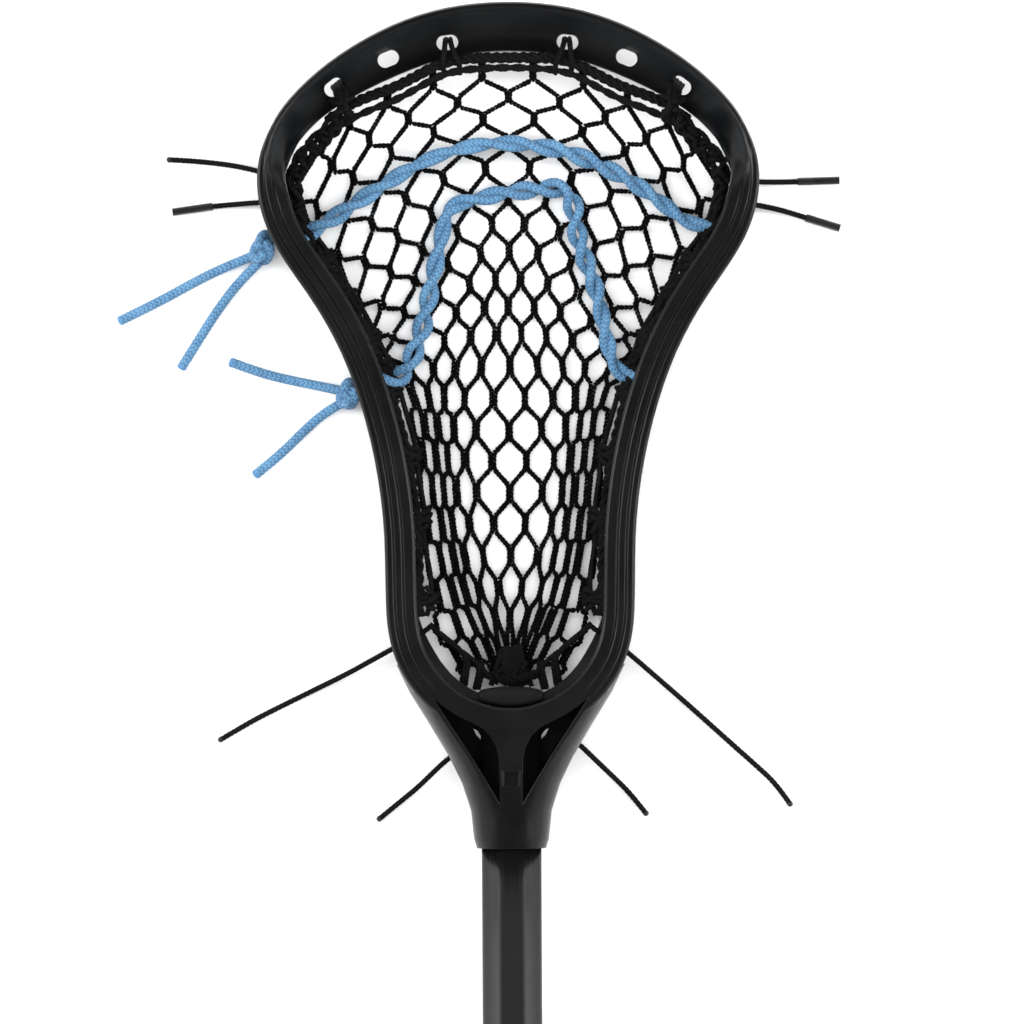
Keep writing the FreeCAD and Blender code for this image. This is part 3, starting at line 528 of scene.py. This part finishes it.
def net_place(column, row):
    """Where a column and row of the net lie on the head: across and along."""
    marks = [0.0] + [key_value(row, lambda key, index=index: key[3][index]) for index in range(5)]
    across = float(np.interp(abs(column), range(6), marks))
    along = key_value(row, lambda key: key[1]) - key_value(row, lambda key: key[2]) * across ** 2
    return math.copysign(min(across, net_limit(along)), column), along


def join_share(column, row):
    """How much of a row's height half a join between two strings takes."""
    narrow = smooth((abs(column) - 1.4) / 0.8) * smooth((row - 9.5) / 2) * smooth((20.5 - row) / 2)
    return 0.25 + 0.2 * narrow


# The net's upper edge, where the top string and the corner lacing carry it.
UPPER_EDGE = [(0, 292.2), (18, 291.8), (26, 289.8), (33, 286.2), (42.4, 281.4), (53, 277.4), (62, 272.4),
              (66, 269.4), (70, 265.4), (74.4, 260.8), (78.6, 256.2), (82, 251.0)]


def upper_edge(across):
    return float(np.interp(abs(across), [mark[0] for mark in UPPER_EDGE], [mark[1] for mark in UPPER_EDGE]))


def net_string(home, lean):
    """One string of the net: it joins its neighbours on either side in turn, row by row."""
    spots = []
    rng = random.Random(int(home * 10) * 7 + lean)
    for row in range(-1, LAST_ROW + 1):
        odd = row % 2 == 1
        column = home if odd else home + lean * 0.5
        hand = lean if odd else -lean
        x, along = net_place(column, row)
        ahead = net_place(column, row - 0.5)
        behind = net_place(column, row + 0.5)
        run = Vector((ahead[0] - behind[0], ahead[1] - behind[1]))
        half = run * join_share(column, row)
        cross = Vector((run.y, -run.x)).normalized() * JOIN_HALF_GAP * hand
        jitter = Vector((rng.uniform(-0.4, 0.4), rng.uniform(-0.4, 0.4)))
        if row == -1:
            spots.append((Vector((x, upper_edge(x))) + cross, hand))
        for sign in (1, 0, -1):
            spots.append((Vector((x, along)) + half * sign + cross + jitter, hand))
    line = [spots[0]]
    for (before, hand), (after, turned) in zip(spots, spots[1:]):
        if hand != turned:
            line += [(before.lerp(after, 0.16), hand), (before.lerp(after, 0.84), turned)]
        line.append((after, turned))
    return [(spot.x, spot.y, net_z(spot.x, spot.y) + 0.35 * hand) for spot, hand in line]


def stitch_link():
    """One stitch of the knitted cord: a pair of leaning lobes."""
    work = bmesh.new()
    for hand in (-1, 1):
        shaped = Matrix.Translation((hand * 0.36 * MM, 0, 0)) @ Matrix.Rotation(hand * 0.4, 4, "Y")
        shaped = shaped @ Matrix.Diagonal((0.68 * MM, 0.82 * MM, 1.02 * MM, 1))
        bmesh.ops.create_uvsphere(work, u_segments=6, v_segments=4, radius=1.0, matrix=shaped)
    mesh = bpy.data.meshes.new("stitch")
    work.to_mesh(mesh)
    work.free()
    mesh.polygons.foreach_set("use_smooth", [True] * len(mesh.polygons))
    stitch = bpy.data.objects.new("stitch", mesh)
    bpy.context.scene.collection.objects.link(stitch)
    return stitch


def stitch_tree():
    """Node tree: even points along the strings, a stitch on each one, lying with the string."""
    tree = bpy.data.node_groups.new("knitted_strings", "GeometryNodeTree")
    face = tree.interface
    face.new_socket("Strings", in_out="INPUT", socket_type="NodeSocketGeometry")
    pitch = face.new_socket("Stitch pitch", in_out="INPUT", socket_type="NodeSocketFloat")
    stitch = face.new_socket("Stitch", in_out="INPUT", socket_type="NodeSocketObject")
    spread = face.new_socket("Size spread", in_out="INPUT", socket_type="NodeSocketFloat")
    finish = face.new_socket("Finish", in_out="INPUT", socket_type="NodeSocketMaterial")
    face.new_socket("Net", in_out="OUTPUT", socket_type="NodeSocketGeometry")
    new = tree.nodes.new
    wire = tree.links.new
    given = new("NodeGroupInput")
    lie = new("GeometryNodeSetCurveNormal")
    lie.mode = "Z_UP"
    wire(given.outputs["Strings"], lie.inputs["Curve"])
    places = new("GeometryNodeCurveToPoints")
    places.mode = "LENGTH"
    wire(lie.outputs["Curve"], places.inputs["Curve"])
    wire(given.outputs["Stitch pitch"], places.inputs["Length"])
    shape = new("GeometryNodeObjectInfo")
    wire(given.outputs["Stitch"], shape.inputs["Object"])
    low = new("ShaderNodeMath")
    low.operation = "SUBTRACT"
    low.inputs[0].default_value = 1.0
    wire(given.outputs["Size spread"], low.inputs[1])
    high = new("ShaderNodeMath")
    high.operation = "ADD"
    high.inputs[0].default_value = 1.0
    wire(given.outputs["Size spread"], high.inputs[1])
    size = new("FunctionNodeRandomValue")
    size.data_type = "FLOAT"
    wire(low.outputs[0], size.inputs[2])
    wire(high.outputs[0], size.inputs[3])
    size.inputs["Seed"].default_value = 4
    copies = new("GeometryNodeInstanceOnPoints")
    wire(places.outputs["Points"], copies.inputs["Points"])
    wire(shape.outputs["Geometry"], copies.inputs["Instance"])
    wire(places.outputs["Rotation"], copies.inputs["Rotation"])
    wire(size.outputs[1], copies.inputs["Scale"])
    real = new("GeometryNodeRealizeInstances")
    wire(copies.outputs["Instances"], real.inputs["Geometry"])
    paint = new("GeometryNodeSetMaterial")
    wire(real.outputs["Geometry"], paint.inputs["Geometry"])
    wire(given.outputs["Finish"], paint.inputs["Material"])
    result = new("NodeGroupOutput")
    wire(paint.outputs["Geometry"], result.inputs["Net"])
    return tree, {"pitch": pitch.identifier, "stitch": stitch.identifier,
                  "spread": spread.identifier, "finish": finish.identifier}


KNIT_TREE, KNIT_INPUTS = stitch_tree()
STITCH = stitch_link()


def knitted(name, lines):
    """Strings of stitches along several lines, as one plain mesh piece."""
    curve = bpy.data.curves.new(name, "CURVE")
    curve.dimensions = "3D"
    curve.resolution_u = 6
    for line in lines:
        spline = curve.splines.new("NURBS")
        spline.points.add(len(line) - 1)
        for control, point in zip(spline.points, line):
            control.co = (*on_head(*point), 1)
        spline.order_u = 3
        spline.use_endpoint_u = True
    carrier = bpy.data.objects.new(name, curve)
    bpy.context.scene.collection.objects.link(carrier)
    maker = carrier.modifiers.new("knit", "NODES")
    maker.node_group = KNIT_TREE
    maker[KNIT_INPUTS["pitch"]] = STITCH_PITCH
    maker[KNIT_INPUTS["stitch"]] = STITCH
    maker[KNIT_INPUTS["spread"]] = STITCH_SIZE_SPREAD
    maker[KNIT_INPUTS["finish"]] = net_yarn
    shaped = carrier.evaluated_get(bpy.context.evaluated_depsgraph_get())
    mesh = bpy.data.meshes.new_from_object(shaped)
    mesh.name = name
    bpy.data.objects.remove(carrier)
    bpy.data.curves.remove(curve)
    piece = bpy.data.objects.new(name, mesh)
    bpy.context.scene.collection.objects.link(piece)
    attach(piece, "root")
    return piece


def make_net():
    """The net, in three bands of strings."""
    bands = {"left": [], "middle": [], "right": []}
    for half in range(-9, 10, 2):
        home = half / 2
        for lean in (-1, 1):
            band = "middle" if abs(home) < 2 else ("left" if home < 0 else "right")
            bands[band].append(net_string(home, lean))
    pieces = [knitted("mesh_net_" + band, lines) for band, lines in bands.items()]
    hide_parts("mesh_pocket")


make_net()
bpy.data.objects.remove(STITCH)


# ---------------------------------------------------------------- shooting strings

UPPER_ARCH = [(-83, 225.2), (-76, 228.7), (-67, 234), (-59, 239.4), (-46, 247.8), (-31, 256.6),
              (-15, 261.6), (0, 263), (20.5, 260), (35, 254), (47.5, 247.4), (58.8, 239.2),
              (66, 233.2), (73, 231.2), (81, 230.6)]
LOWER_ARCH = [(-50, 174), (-45, 174.4), (-40.6, 175.4), (-37.4, 178.8), (-36, 183.6), (-33.2, 190.6),
              (-31, 200), (-29, 209.4), (-26.8, 220.4), (-24.6, 230), (-23.4, 236.4), (-20, 240),
              (-14, 241.6), (-8.5, 242.6), (-1, 244.6), (7, 245), (15, 246), (21, 245.6),
              (24.2, 241), (25, 234), (26, 227.6), (28.4, 219.8), (31.6, 211.6), (34.4, 200.8),
              (36.6, 188.8), (38.6, 180.6), (42, 176.4), (47, 174.8), (51, 173.4)]
# The strands press each other a little thinner where they are twisted together.
TWISTED = SHOOTING - 0.2


def twisted_pair(name, route, lift, twist, start_turn, gap, node):
    """Two braided strands laid round each other along a route over the net."""
    points = [on_head(x, y, net_z(x, y) + lift) for x, y in route]
    path = spline_path(points, 0.3 * MM)
    side, up = carried_axes(path)
    runs = np.linalg.norm(np.diff(path, axis=0), axis=1)
    length = np.concatenate([[0], np.cumsum(runs)])
    turn = 2 * np.pi * length / (twist * MM) + start_turn + 0.7 * np.sin(length / (23 * MM))
    apart = gap * MM * (0.86 + 0.2 * np.sin(length / (17 * MM) + start_turn))[:, None]
    strands = []
    for half_turn in (0, np.pi):
        sideways = np.cos(turn + half_turn)[:, None] * side
        upwards = np.sin(turn + half_turn)[:, None] * up * 1.05
        strands.append(lace_along(name, path + apart * (sideways + upwards), TWISTED, blue_yarn))
    piece = merged(name, strands)
    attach(piece, "root")
    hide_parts(node)


twisted_pair("shooting_string_upper_pair", UPPER_ARCH, 2.2, 27.0, 0.6, 1.75, "shooting_string_upper")
twisted_pair("shooting_string_lower_pair", LOWER_ARCH, 1.8, 23.0, 0.3, 2.15, "shooting_string_lower")


def knot(name, node, centre, halves, turn):
    """An overhand knot pulled tight outside the sidewall."""
    lead = np.linspace(0, 2 * np.pi, 240, endpoint=False)
    wide = 0.62 + 0.38 * np.cos(3 * lead)
    local = np.stack([halves[0] * wide * np.cos(2 * lead), halves[1] * wide * np.sin(2 * lead),
                      halves[2] * np.sin(3 * lead)], axis=1)
    angle = math.radians(turn)
    spun = np.stack([local[:, 0] * math.cos(angle) - local[:, 1] * math.sin(angle),
                     local[:, 0] * math.sin(angle) + local[:, 1] * math.cos(angle), local[:, 2]], axis=1)
    path = spun * MM + np.array(on_head(*centre))
    piece = lace_along(name, np.vstack([path, path[:1]]), SHOOTING, blue_yarn)
    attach(piece, "root")
    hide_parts(node)


knot("knot_upper", "shooting_knot_upper", (-92.0, 223.8, 6.4), (5.5, 3.1, 3.4), 75)
knot("knot_lower", "shooting_knot_lower", (-60.4, 168.9, 5.8), (4.8, 2.8, 3.2), 80)


# ---------------------------------------------------------------- lacing

def laced(name, routes, node):
    """Black lace laid along several routes over the head, as one piece."""
    parts = []
    for index, route in enumerate(routes):
        path = spline_path([on_head(*point) for point in route], 0.36 * MM)
        parts.append(lace_along(f"{name}_{index}", path, LACE, lace_yarn))
    piece = merged(name, parts)
    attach(piece, "root")
    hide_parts(node)


# A twist of laces is this much flatter than it is wide.
TWIST_FLATNESS = 0.75


def rope_routes(route, strands, gap, twist, start=0.0):
    """Control points of several strands laid round one another along a route."""
    points = spline_path([Vector(point) for point in route], twist / 6)
    side, up = carried_axes(points)
    runs = np.linalg.norm(np.diff(points, axis=0), axis=1)
    length = np.concatenate([[0], np.cumsum(runs)])
    routes = []
    for index in range(strands):
        turn = 2 * np.pi * (length / twist + index / strands) + start
        away = gap * (np.cos(turn)[:, None] * side + np.sin(turn)[:, None] * up * TWIST_FLATNESS)
        routes.append([tuple(point) for point in points + away])
    return routes


def flipped(routes):
    """The same routes on the other side of the stick."""
    return [[(-x, y, z) for x, y, z in route] for route in routes]


TOP_LINE = [(-62, 275.5), (-53, 279.5), (-42.4, 283.0), (-33, 287.8), (-26, 291.6), (-18, 293.6),
            (-9, 294.0), (0, 294.0), (9, 294.0), (18, 293.6), (26, 291.6), (33, 287.8),
            (42.4, 283.0), (53, 279.5), (62, 275.5)]
# How far the two laces of a tie spread to either side of it.
TIE_SPLIT = 1.7


def make_top_string():
    """The twisted lace along the scoop's edge of the net, and its ties through the scoop's slots."""
    line = [(x, y, net_z(x, min(y, 290)) + 1.6) for x, y in TOP_LINE]
    routes = rope_routes(line, 3, 1.3, 10.0)
    edge = [(x, y - 3.6 - 0.03 * abs(x), z - 1.0) for x, y, z in line]
    routes += rope_routes(edge, 2, 0.6, 12.0, 0.8)
    ties = []
    for lean in (-1, 1):
        ties.append([(22.2 + lean * TIE_SPLIT * 0.5, 301.2, 17.5),
                     (22.2 + lean * TIE_SPLIT * 0.6, 299.6, 22.6),
                     (21.8 + lean * TIE_SPLIT, 296.2, 24.6),
                     (21.2 + lean * TIE_SPLIT * 1.7, 292.6, 24.6),
                     (20.8 + lean * TIE_SPLIT * 1.9, 289.6, 21.5),
                     (20.6 + lean * TIE_SPLIT * 1.6, 288.4, 18.5)])
    for index, (reach, bend) in enumerate(((0.0, 1.4), (2.1, -1.2), (4.2, 1.2), (6.2, -0.8))):
        ties.append([(65.2 - reach * 0.5, 283.6 + reach * 0.4, 17.5),
                     (64.0 - reach * 0.4, 282.2 + reach * 0.3, 24.0),
                     (62.4 - reach * 0.3 + bend, 279.4, 26.0 + 0.4 * index),
                     (61.6 - reach * 0.2 - bend, 276.2 - reach * 0.2, 26.0 + 0.4 * index),
                     (61.4 - reach * 0.6 + bend, 273.0 - reach * 0.3, 22.0),
                     (62.2 - reach * 0.5, 270.4, 18.0)])
    ties.append([(57.5, 279.8, 24.0), (60.5, 277.6, 27.0), (64.0, 276.6, 27.0), (66.6, 278.4, 23.5)])
    ties.append([(58.0, 273.6, 22.0), (61.0, 274.6, 26.4), (64.6, 273.6, 26.4), (67.6, 271.6, 22.0)])
    laced("top_string_lace", routes + ties + flipped(ties), "top_string")


make_top_string()

# From the scoop's outer tie round to the wall.
CORNER_LINE = [(61.5, 275.5, 23.0), (65.8, 270.6, 21.0), (70.0, 266.4, 19.4), (74.4, 262.2, 17.8),
               (78.2, 258.0, 16.2), (81.0, 253.2, 14.4), (81.6, 247.0, 12.8), (80.0, 240.0, 11.2),
               (77.6, 233.0, 10.0), (74.0, 226.5, 9.6)]
# Knots in the side lacing: along, and how far in from the frame's outline.
SIDE_KNOTS = [(243, 12.6), (231, 12.8), (219, 13.2), (206, 12.8), (190, 13.0), (178, 13.4), (169, 13.2),
              (146, 14.6), (122, 15.0), (92, 16.6)]


def tangle(x, along, z, wide, tall, turns, rng):
    """Control points of a lace wrapped loosely on itself, as a half hitch pulled tight."""
    points = []
    lean = 0.0
    for step in range(int(turns * 5) + 1):
        angle = step * 2 * math.pi / 5
        if step % 5 == 0:
            lean = rng.uniform(-2.6, 2.6)
        reach = wide * rng.uniform(0.7, 1.15)
        drop = tall * (step / (turns * 5) - 0.5)
        points.append((x + reach * math.cos(angle), along - drop + 0.5 * lean * reach * math.cos(angle),
                       z + 1.5 * math.sin(angle)))
    return points


def make_side_lacing(side, node):
    """The lace that holds the net's edge to one sidewall: knotted at the holes, with long runs between."""
    rng = random.Random(11 if side > 0 else 23)
    routes = rope_routes(CORNER_LINE, 2, 1.2, 17.0, 0.4)
    routes += rope_routes([(x - 2.8, y - 2.4, z - 1.0) for x, y, z in CORNER_LINE[:8]], 2, 1.1, 11.0, 1.4)
    for x, along, z in CORNER_LINE[1:8]:
        wide, tall = rng.uniform(1.4, 2.4), rng.uniform(2.5, 5.0)
        routes.append(tangle(x - 1.4, along - 1.2, z + 0.6, wide, tall, 1.6, rng))
    outer, inner = [], []
    for along, inward in SIDE_KNOTS:
        dense = along > 165
        x = half_width(along, inward)
        z = net_z(x, along) + 1.8
        routes.append(tangle(x, along, z, 1.7 if dense else 2.0, 5.4 if dense else 7.0, 2.4, rng))
        wall = half_width(along - 1, 8.6)
        low = foot_z(along) + 5.0
        for slip in (1.2, -2.6):
            routes.append([(wall, along + slip, low),
                           (wall - 1.6, along + slip, low + 1.2),
                           ((wall + x) / 2, along + slip * 0.6, z + 1.6),
                           (x + 0.8, along + slip * 0.3, z + 1.2),
                           (x - 1.8, along - slip * 0.4, z - 0.6),
                           (x - 2.4, along - slip, z - 1.2)])
        outer.append((half_width(along, 12.2) + rng.uniform(-0.5, 0.5), along, z + 0.6))
        inner.append((x - rng.uniform(0.4, 1.6), along + 2, z - 0.8))
        after = along - 6
        outer.append((half_width(after, 12.0) + rng.uniform(-0.9, 0.3), after, net_z(x, after) + 2.0))
        inner.append((half_width(after, 14.4) + rng.uniform(-0.8, 0.8), after, net_z(x, after) + 1.0))
    routes += rope_routes(outer, 2, 0.9, 9.0) + [inner]
    for along in range(242, 168, -7):
        x = half_width(along, 12.0)
        z = net_z(x, along) + 1.8
        routes.append(tangle(x + rng.uniform(-0.6, 0.6), along, z + 0.4, 1.4, 6.0, 1.6, rng))
    if side < 0:
        routes = flipped(routes)
    laced("side_lacing_" + ("right" if side > 0 else "left"), routes, node)


make_side_lacing(1, "sidewall_string_right")
make_side_lacing(-1, "sidewall_string_left")


def make_bottom_string():
    """The lace that gathers the net at the throat, with its ties to the wall."""
    rng = random.Random(5)
    routes = []
    for x, along, lift in ((-4.2, 63.5, 2.0), (-1.2, 62.5, 3.0), (1.6, 63, 2.6), (4.6, 64.5, 2.0)):
        routes.append(tangle(x, along, net_z(x, along) + lift, 1.4, 5.0, 1.6, rng))
    for x in (-7.4, -5.2, -3.4, -1.6, 0.2, 1.9, 3.7, 5.6, 7.6):
        line = ((x * 0.42, 74.5), (x * 0.5, 70.5), (x * 0.66, 66.5), (x * 0.86, 63), (x * 1.05, 60))
        routes.append([(across + rng.uniform(-0.5, 0.5), along + rng.uniform(-0.8, 0.8),
                        net_z(across, along) + 2.2) for across, along in line])
    binding = [(-10.5, 64.6, 14.0), (-5, 62.6, 15.2), (0, 62.0, 15.6), (5, 62.6, 15.2), (10.5, 64.6, 14.0)]
    routes += rope_routes(binding, 2, 1.0, 8.0)
    ties = []
    for line in (((29.6, 82.0), (24.4, 78.0), (18.8, 73.4), (16.6, 69.8), (17.6, 65.4), (18.4, 60.6)),
                 ((28.6, 80.6), (23.4, 76.6), (18.0, 72.0), (15.6, 69.0), (16.4, 64.8), (17.0, 60.0)),
                 ((18.0, 72.6), (14.0, 69.4), (11.2, 66.6), (8.3, 62.9)),
                 ((12.4, 69.0), (11.6, 66.0), (12.6, 62.4), (13.4, 58.6)),
                 ((11.0, 69.0), (10.2, 66.0), (11.4, 62.0), (12.2, 58.6)),
                 ((29.0, 83.0), (31.4, 80.6), (34.6, 79.0), (37.6, 78.0)),
                 ((28.4, 90.0), (30.6, 93.2), (33.6, 95.6), (36.6, 97.4))):
        ties.append([(x, along, net_z(x, along) + 1.6) for x, along in line[:-1]]
                    + [(*line[-1], foot_z(line[-1][1]) + 5.0)])
    laced("bottom_string_lace", routes + ties + flipped(ties), "bottom_string")


make_bottom_string()


# ---------------------------------------------------------------- frame pieces

# Faces that meet at more than this many degrees keep a sharp edge.
CREASE = 32.0


def smooth_copy(node, name, material):
    """A frame piece with its faces joined up and shaded smoothly, apart from its real edges."""
    work = bmesh.new()
    work.from_mesh(nodes[node].data)
    bmesh.ops.remove_doubles(work, verts=work.verts, dist=0.002 * MM)
    bmesh.ops.recalc_face_normals(work, faces=work.faces)
    for edge in work.edges:
        edge.smooth = len(edge.link_faces) == 2 and edge.calc_face_angle() < math.radians(CREASE)
    mesh = bpy.data.meshes.new(name)
    work.to_mesh(mesh)
    work.free()
    mesh.materials.clear()
    mesh.materials.append(material)
    mesh.polygons.foreach_set("use_smooth", [True] * len(mesh.polygons))
    mesh.polygons.foreach_set("material_index", [0] * len(mesh.polygons))
    piece = bpy.data.objects.new(name, mesh)
    bpy.context.scene.collection.objects.link(piece)
    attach(piece, "root")
    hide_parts(node)


smooth_copy("head", "head_moulding", nylon)
smooth_copy("butt_cap", "butt_cap_cup", cap_rubber)
smooth_copy("head_screw", "head_screw_body", screw_steel)

SHAFT_LOW, SHAFT_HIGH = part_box("shaft")
# The shaft's slope, from its cap up to the throat.
LIE = math.radians(1.0)
SHAFT_WIDTH = 22.2
SHAFT_DEPTH = 25.0
SHAFT_FLAT = 8.2
# How deep each face dips, and how much of it the round corner takes at either end.
HOLLOW = 0.34
CORNER_SHARE = 0.12


def shaft_profile():
    """Concave octagon: eight faces that dip in the middle, with small round corners."""
    wide, deep, flat = SHAFT_WIDTH / 2, SHAFT_DEPTH / 2, SHAFT_FLAT / 2
    corners = [(wide, flat), (flat, deep), (-flat, deep), (-wide, flat),
               (-wide, -flat), (-flat, -deep), (flat, -deep), (wide, -flat)]
    profile = []
    for index, corner in enumerate(corners):
        start = Vector(corner)
        end = Vector(corners[(index + 1) % 8])
        out = Vector((start - end).yx)
        out = Vector((-out.x, out.y)).normalized()
        if out.dot(start + end) < 0:
            out = -out
        for share in np.linspace(CORNER_SHARE, 1 - CORNER_SHARE, 9):
            dip = HOLLOW * math.sin(math.pi * (share - CORNER_SHARE) / (1 - 2 * CORNER_SHARE))
            profile.append(start.lerp(end, share) - out * dip)
        before = profile[-1]
        after_end = Vector(corners[(index + 2) % 8])
        after = end.lerp(after_end, CORNER_SHARE)
        for share in (0.3, 0.5, 0.7):
            profile.append(before.lerp(end, share).lerp(end.lerp(after, share), share))
    return profile


def make_shaft():
    """The shaft, from inside its cap to inside the throat."""
    profile = shaft_profile()
    axis = Vector((0, math.cos(LIE), math.sin(LIE)))
    rise = Vector((0, -math.sin(LIE), math.cos(LIE)))
    start_y = SHAFT_LOW[1] + SHAFT_DEPTH / 2 * MM * math.sin(LIE)
    start = Vector((0, start_y, SHAFT_LOW[2] + SHAFT_DEPTH / 2 * MM * math.cos(LIE)))
    length = (SHAFT_HIGH[1] - SHAFT_LOW[1] - SHAFT_DEPTH * MM * math.sin(LIE)) / math.cos(LIE)
    verts = []
    for place in (0.0, length):
        verts += [start + axis * place + Vector((point.x * MM, 0, 0)) + rise * point.y * MM
                  for point in profile]
    count = len(profile)
    faces = [(i, (i + 1) % count, count + (i + 1) % count, count + i) for i in range(count)]
    faces += [tuple(range(count))[::-1], tuple(range(count, 2 * count))]
    piece = finished("shaft_tube", verts, faces, shaft_finish)
    flip_outwards(piece)
    piece.data.polygons[count].use_smooth = False
    piece.data.polygons[count + 1].use_smooth = False
    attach(piece, "root")
    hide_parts("shaft")


make_shaft()

PAD_HALF = 12.4
PAD_LOW, PAD_HIGH = 18.8, 41.8
PAD_BACK, PAD_FRONT = 52.7, 59.8
PAD_ROUND = 1.6


def make_pad():
    """The foam pad on the throat's end of the bowl, with soft edges."""
    sections = []
    corners = [(-1, -1), (1, -1), (1, 1), (-1, 1)]
    for share in np.linspace(-1, 1, 41):
        x = PAD_HALF * share
        edge = min(1.0, (1 - abs(share)) * PAD_HALF / PAD_ROUND)
        tuck = PAD_ROUND * (1 - math.sqrt(1 - (1 - edge) ** 2))
        back = PAD_BACK + 2.2 * share ** 2 + tuck
        front = PAD_FRONT - 1.6 * share ** 2 - tuck
        low, high = PAD_LOW + tuck, PAD_HIGH - tuck
        middle = Vector(((back + front) / 2, (low + high) / 2))
        reach = Vector(((front - back) / 2, (high - low) / 2))
        bend = min(PAD_ROUND, reach.x * 0.95)
        section = []
        for quarter, (a, b) in enumerate(corners):
            centre = middle + Vector((a * (reach.x - bend), b * (reach.y - bend)))
            for step in range(6):
                angle = math.pi * (1 + quarter / 2 + step / 10)
                section.append((x, centre.x + bend * math.cos(angle), centre.y + bend * math.sin(angle)))
        sections.append(section)
    verts = [on_head(*point) for section in sections for point in section]
    count = len(sections[0])
    faces = []
    for ring in range(len(sections) - 1):
        for i in range(count):
            following = (i + 1) % count
            faces.append((ring * count + i, ring * count + following,
                          (ring + 1) * count + following, (ring + 1) * count + i))
    last = (len(sections) - 1) * count
    faces += [tuple(range(count)), tuple(range(last, last + count))]
    piece = finished("ball_stop_foam", verts, faces, pad_foam)
    flip_outwards(piece)
    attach(piece, "root")
    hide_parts("ball_stop_pad")


make_pad()


# ---------------------------------------------------------------- floor and light

def make_floor():
    """A plain pale surface under the stick."""
    mesh = bpy.data.meshes.new("floor")
    far = 6.0
    mesh.from_pydata([(-far, -far, 0), (far, -far, 0), (far, far, 0), (-far, far, 0)], [], [(0, 1, 2, 3)])
    mesh.materials.append(new_material("floor", (0.93, 0.93, 0.93), 0.9))
    floor = bpy.data.objects.new("floor", mesh)
    bpy.context.scene.collection.objects.link(floor)


def soft_light(name, place, aim, width, height, power, mirrored=True):
    """A rectangular studio light pointed at a place on the stick."""
    data = bpy.data.lights.new(name, "AREA")
    data.shape = "RECTANGLE"
    data.size = width
    data.size_y = height
    data.energy = power
    light = bpy.data.objects.new(name, data)
    light.location = place
    light.rotation_euler = (Vector(aim) - Vector(place)).to_track_quat("-Z", "Y").to_euler()
    light.visible_glossy = mirrored
    bpy.context.scene.collection.objects.link(light)


make_floor()
HEAD_MIDDLE = on_head(0, 160, 20)
soft_light("left_softbox", HEAD_MIDDLE + Vector((-1.5, 0.3, 1.1)), HEAD_MIDDLE, 0.4, 1.8, 30)
soft_light("right_softbox", HEAD_MIDDLE + Vector((1.5, 0.1, 1.1)), HEAD_MIDDLE, 0.4, 1.8, 26)
soft_light("overhead", HEAD_MIDDLE + Vector((0, 0, 2.4)), HEAD_MIDDLE, 1.8, 1.8, 62, mirrored=False)


def make_sky():
    """A pale studio: bright round the sides, dim straight above, so black faces stay black."""
    world = bpy.data.worlds.new("studio")
    world.use_nodes = True
    tree = world.node_tree
    heading = tree.nodes.new("ShaderNodeTexCoord")
    split = tree.nodes.new("ShaderNodeSeparateXYZ")
    tree.links.new(heading.outputs["Generated"], split.inputs["Vector"])
    shade = tree.nodes.new("ShaderNodeValToRGB")
    tree.links.new(split.outputs["Z"], shade.inputs["Fac"])
    stops = [(0.0, 0.9), (0.50, 0.8), (0.66, 0.22), (0.86, 0.01)]
    elements = shade.color_ramp.elements
    while len(elements) < len(stops):
        elements.new(0.5)
    for element, (place, level) in zip(elements, stops):
        element.position = place
        element.color = (level, level, level, 1)
    tree.links.new(shade.outputs["Color"], tree.nodes["Background"].inputs["Color"])
    bpy.context.scene.world = world


make_sky()
bpy.context.scene.view_settings.view_transform = "Standard"
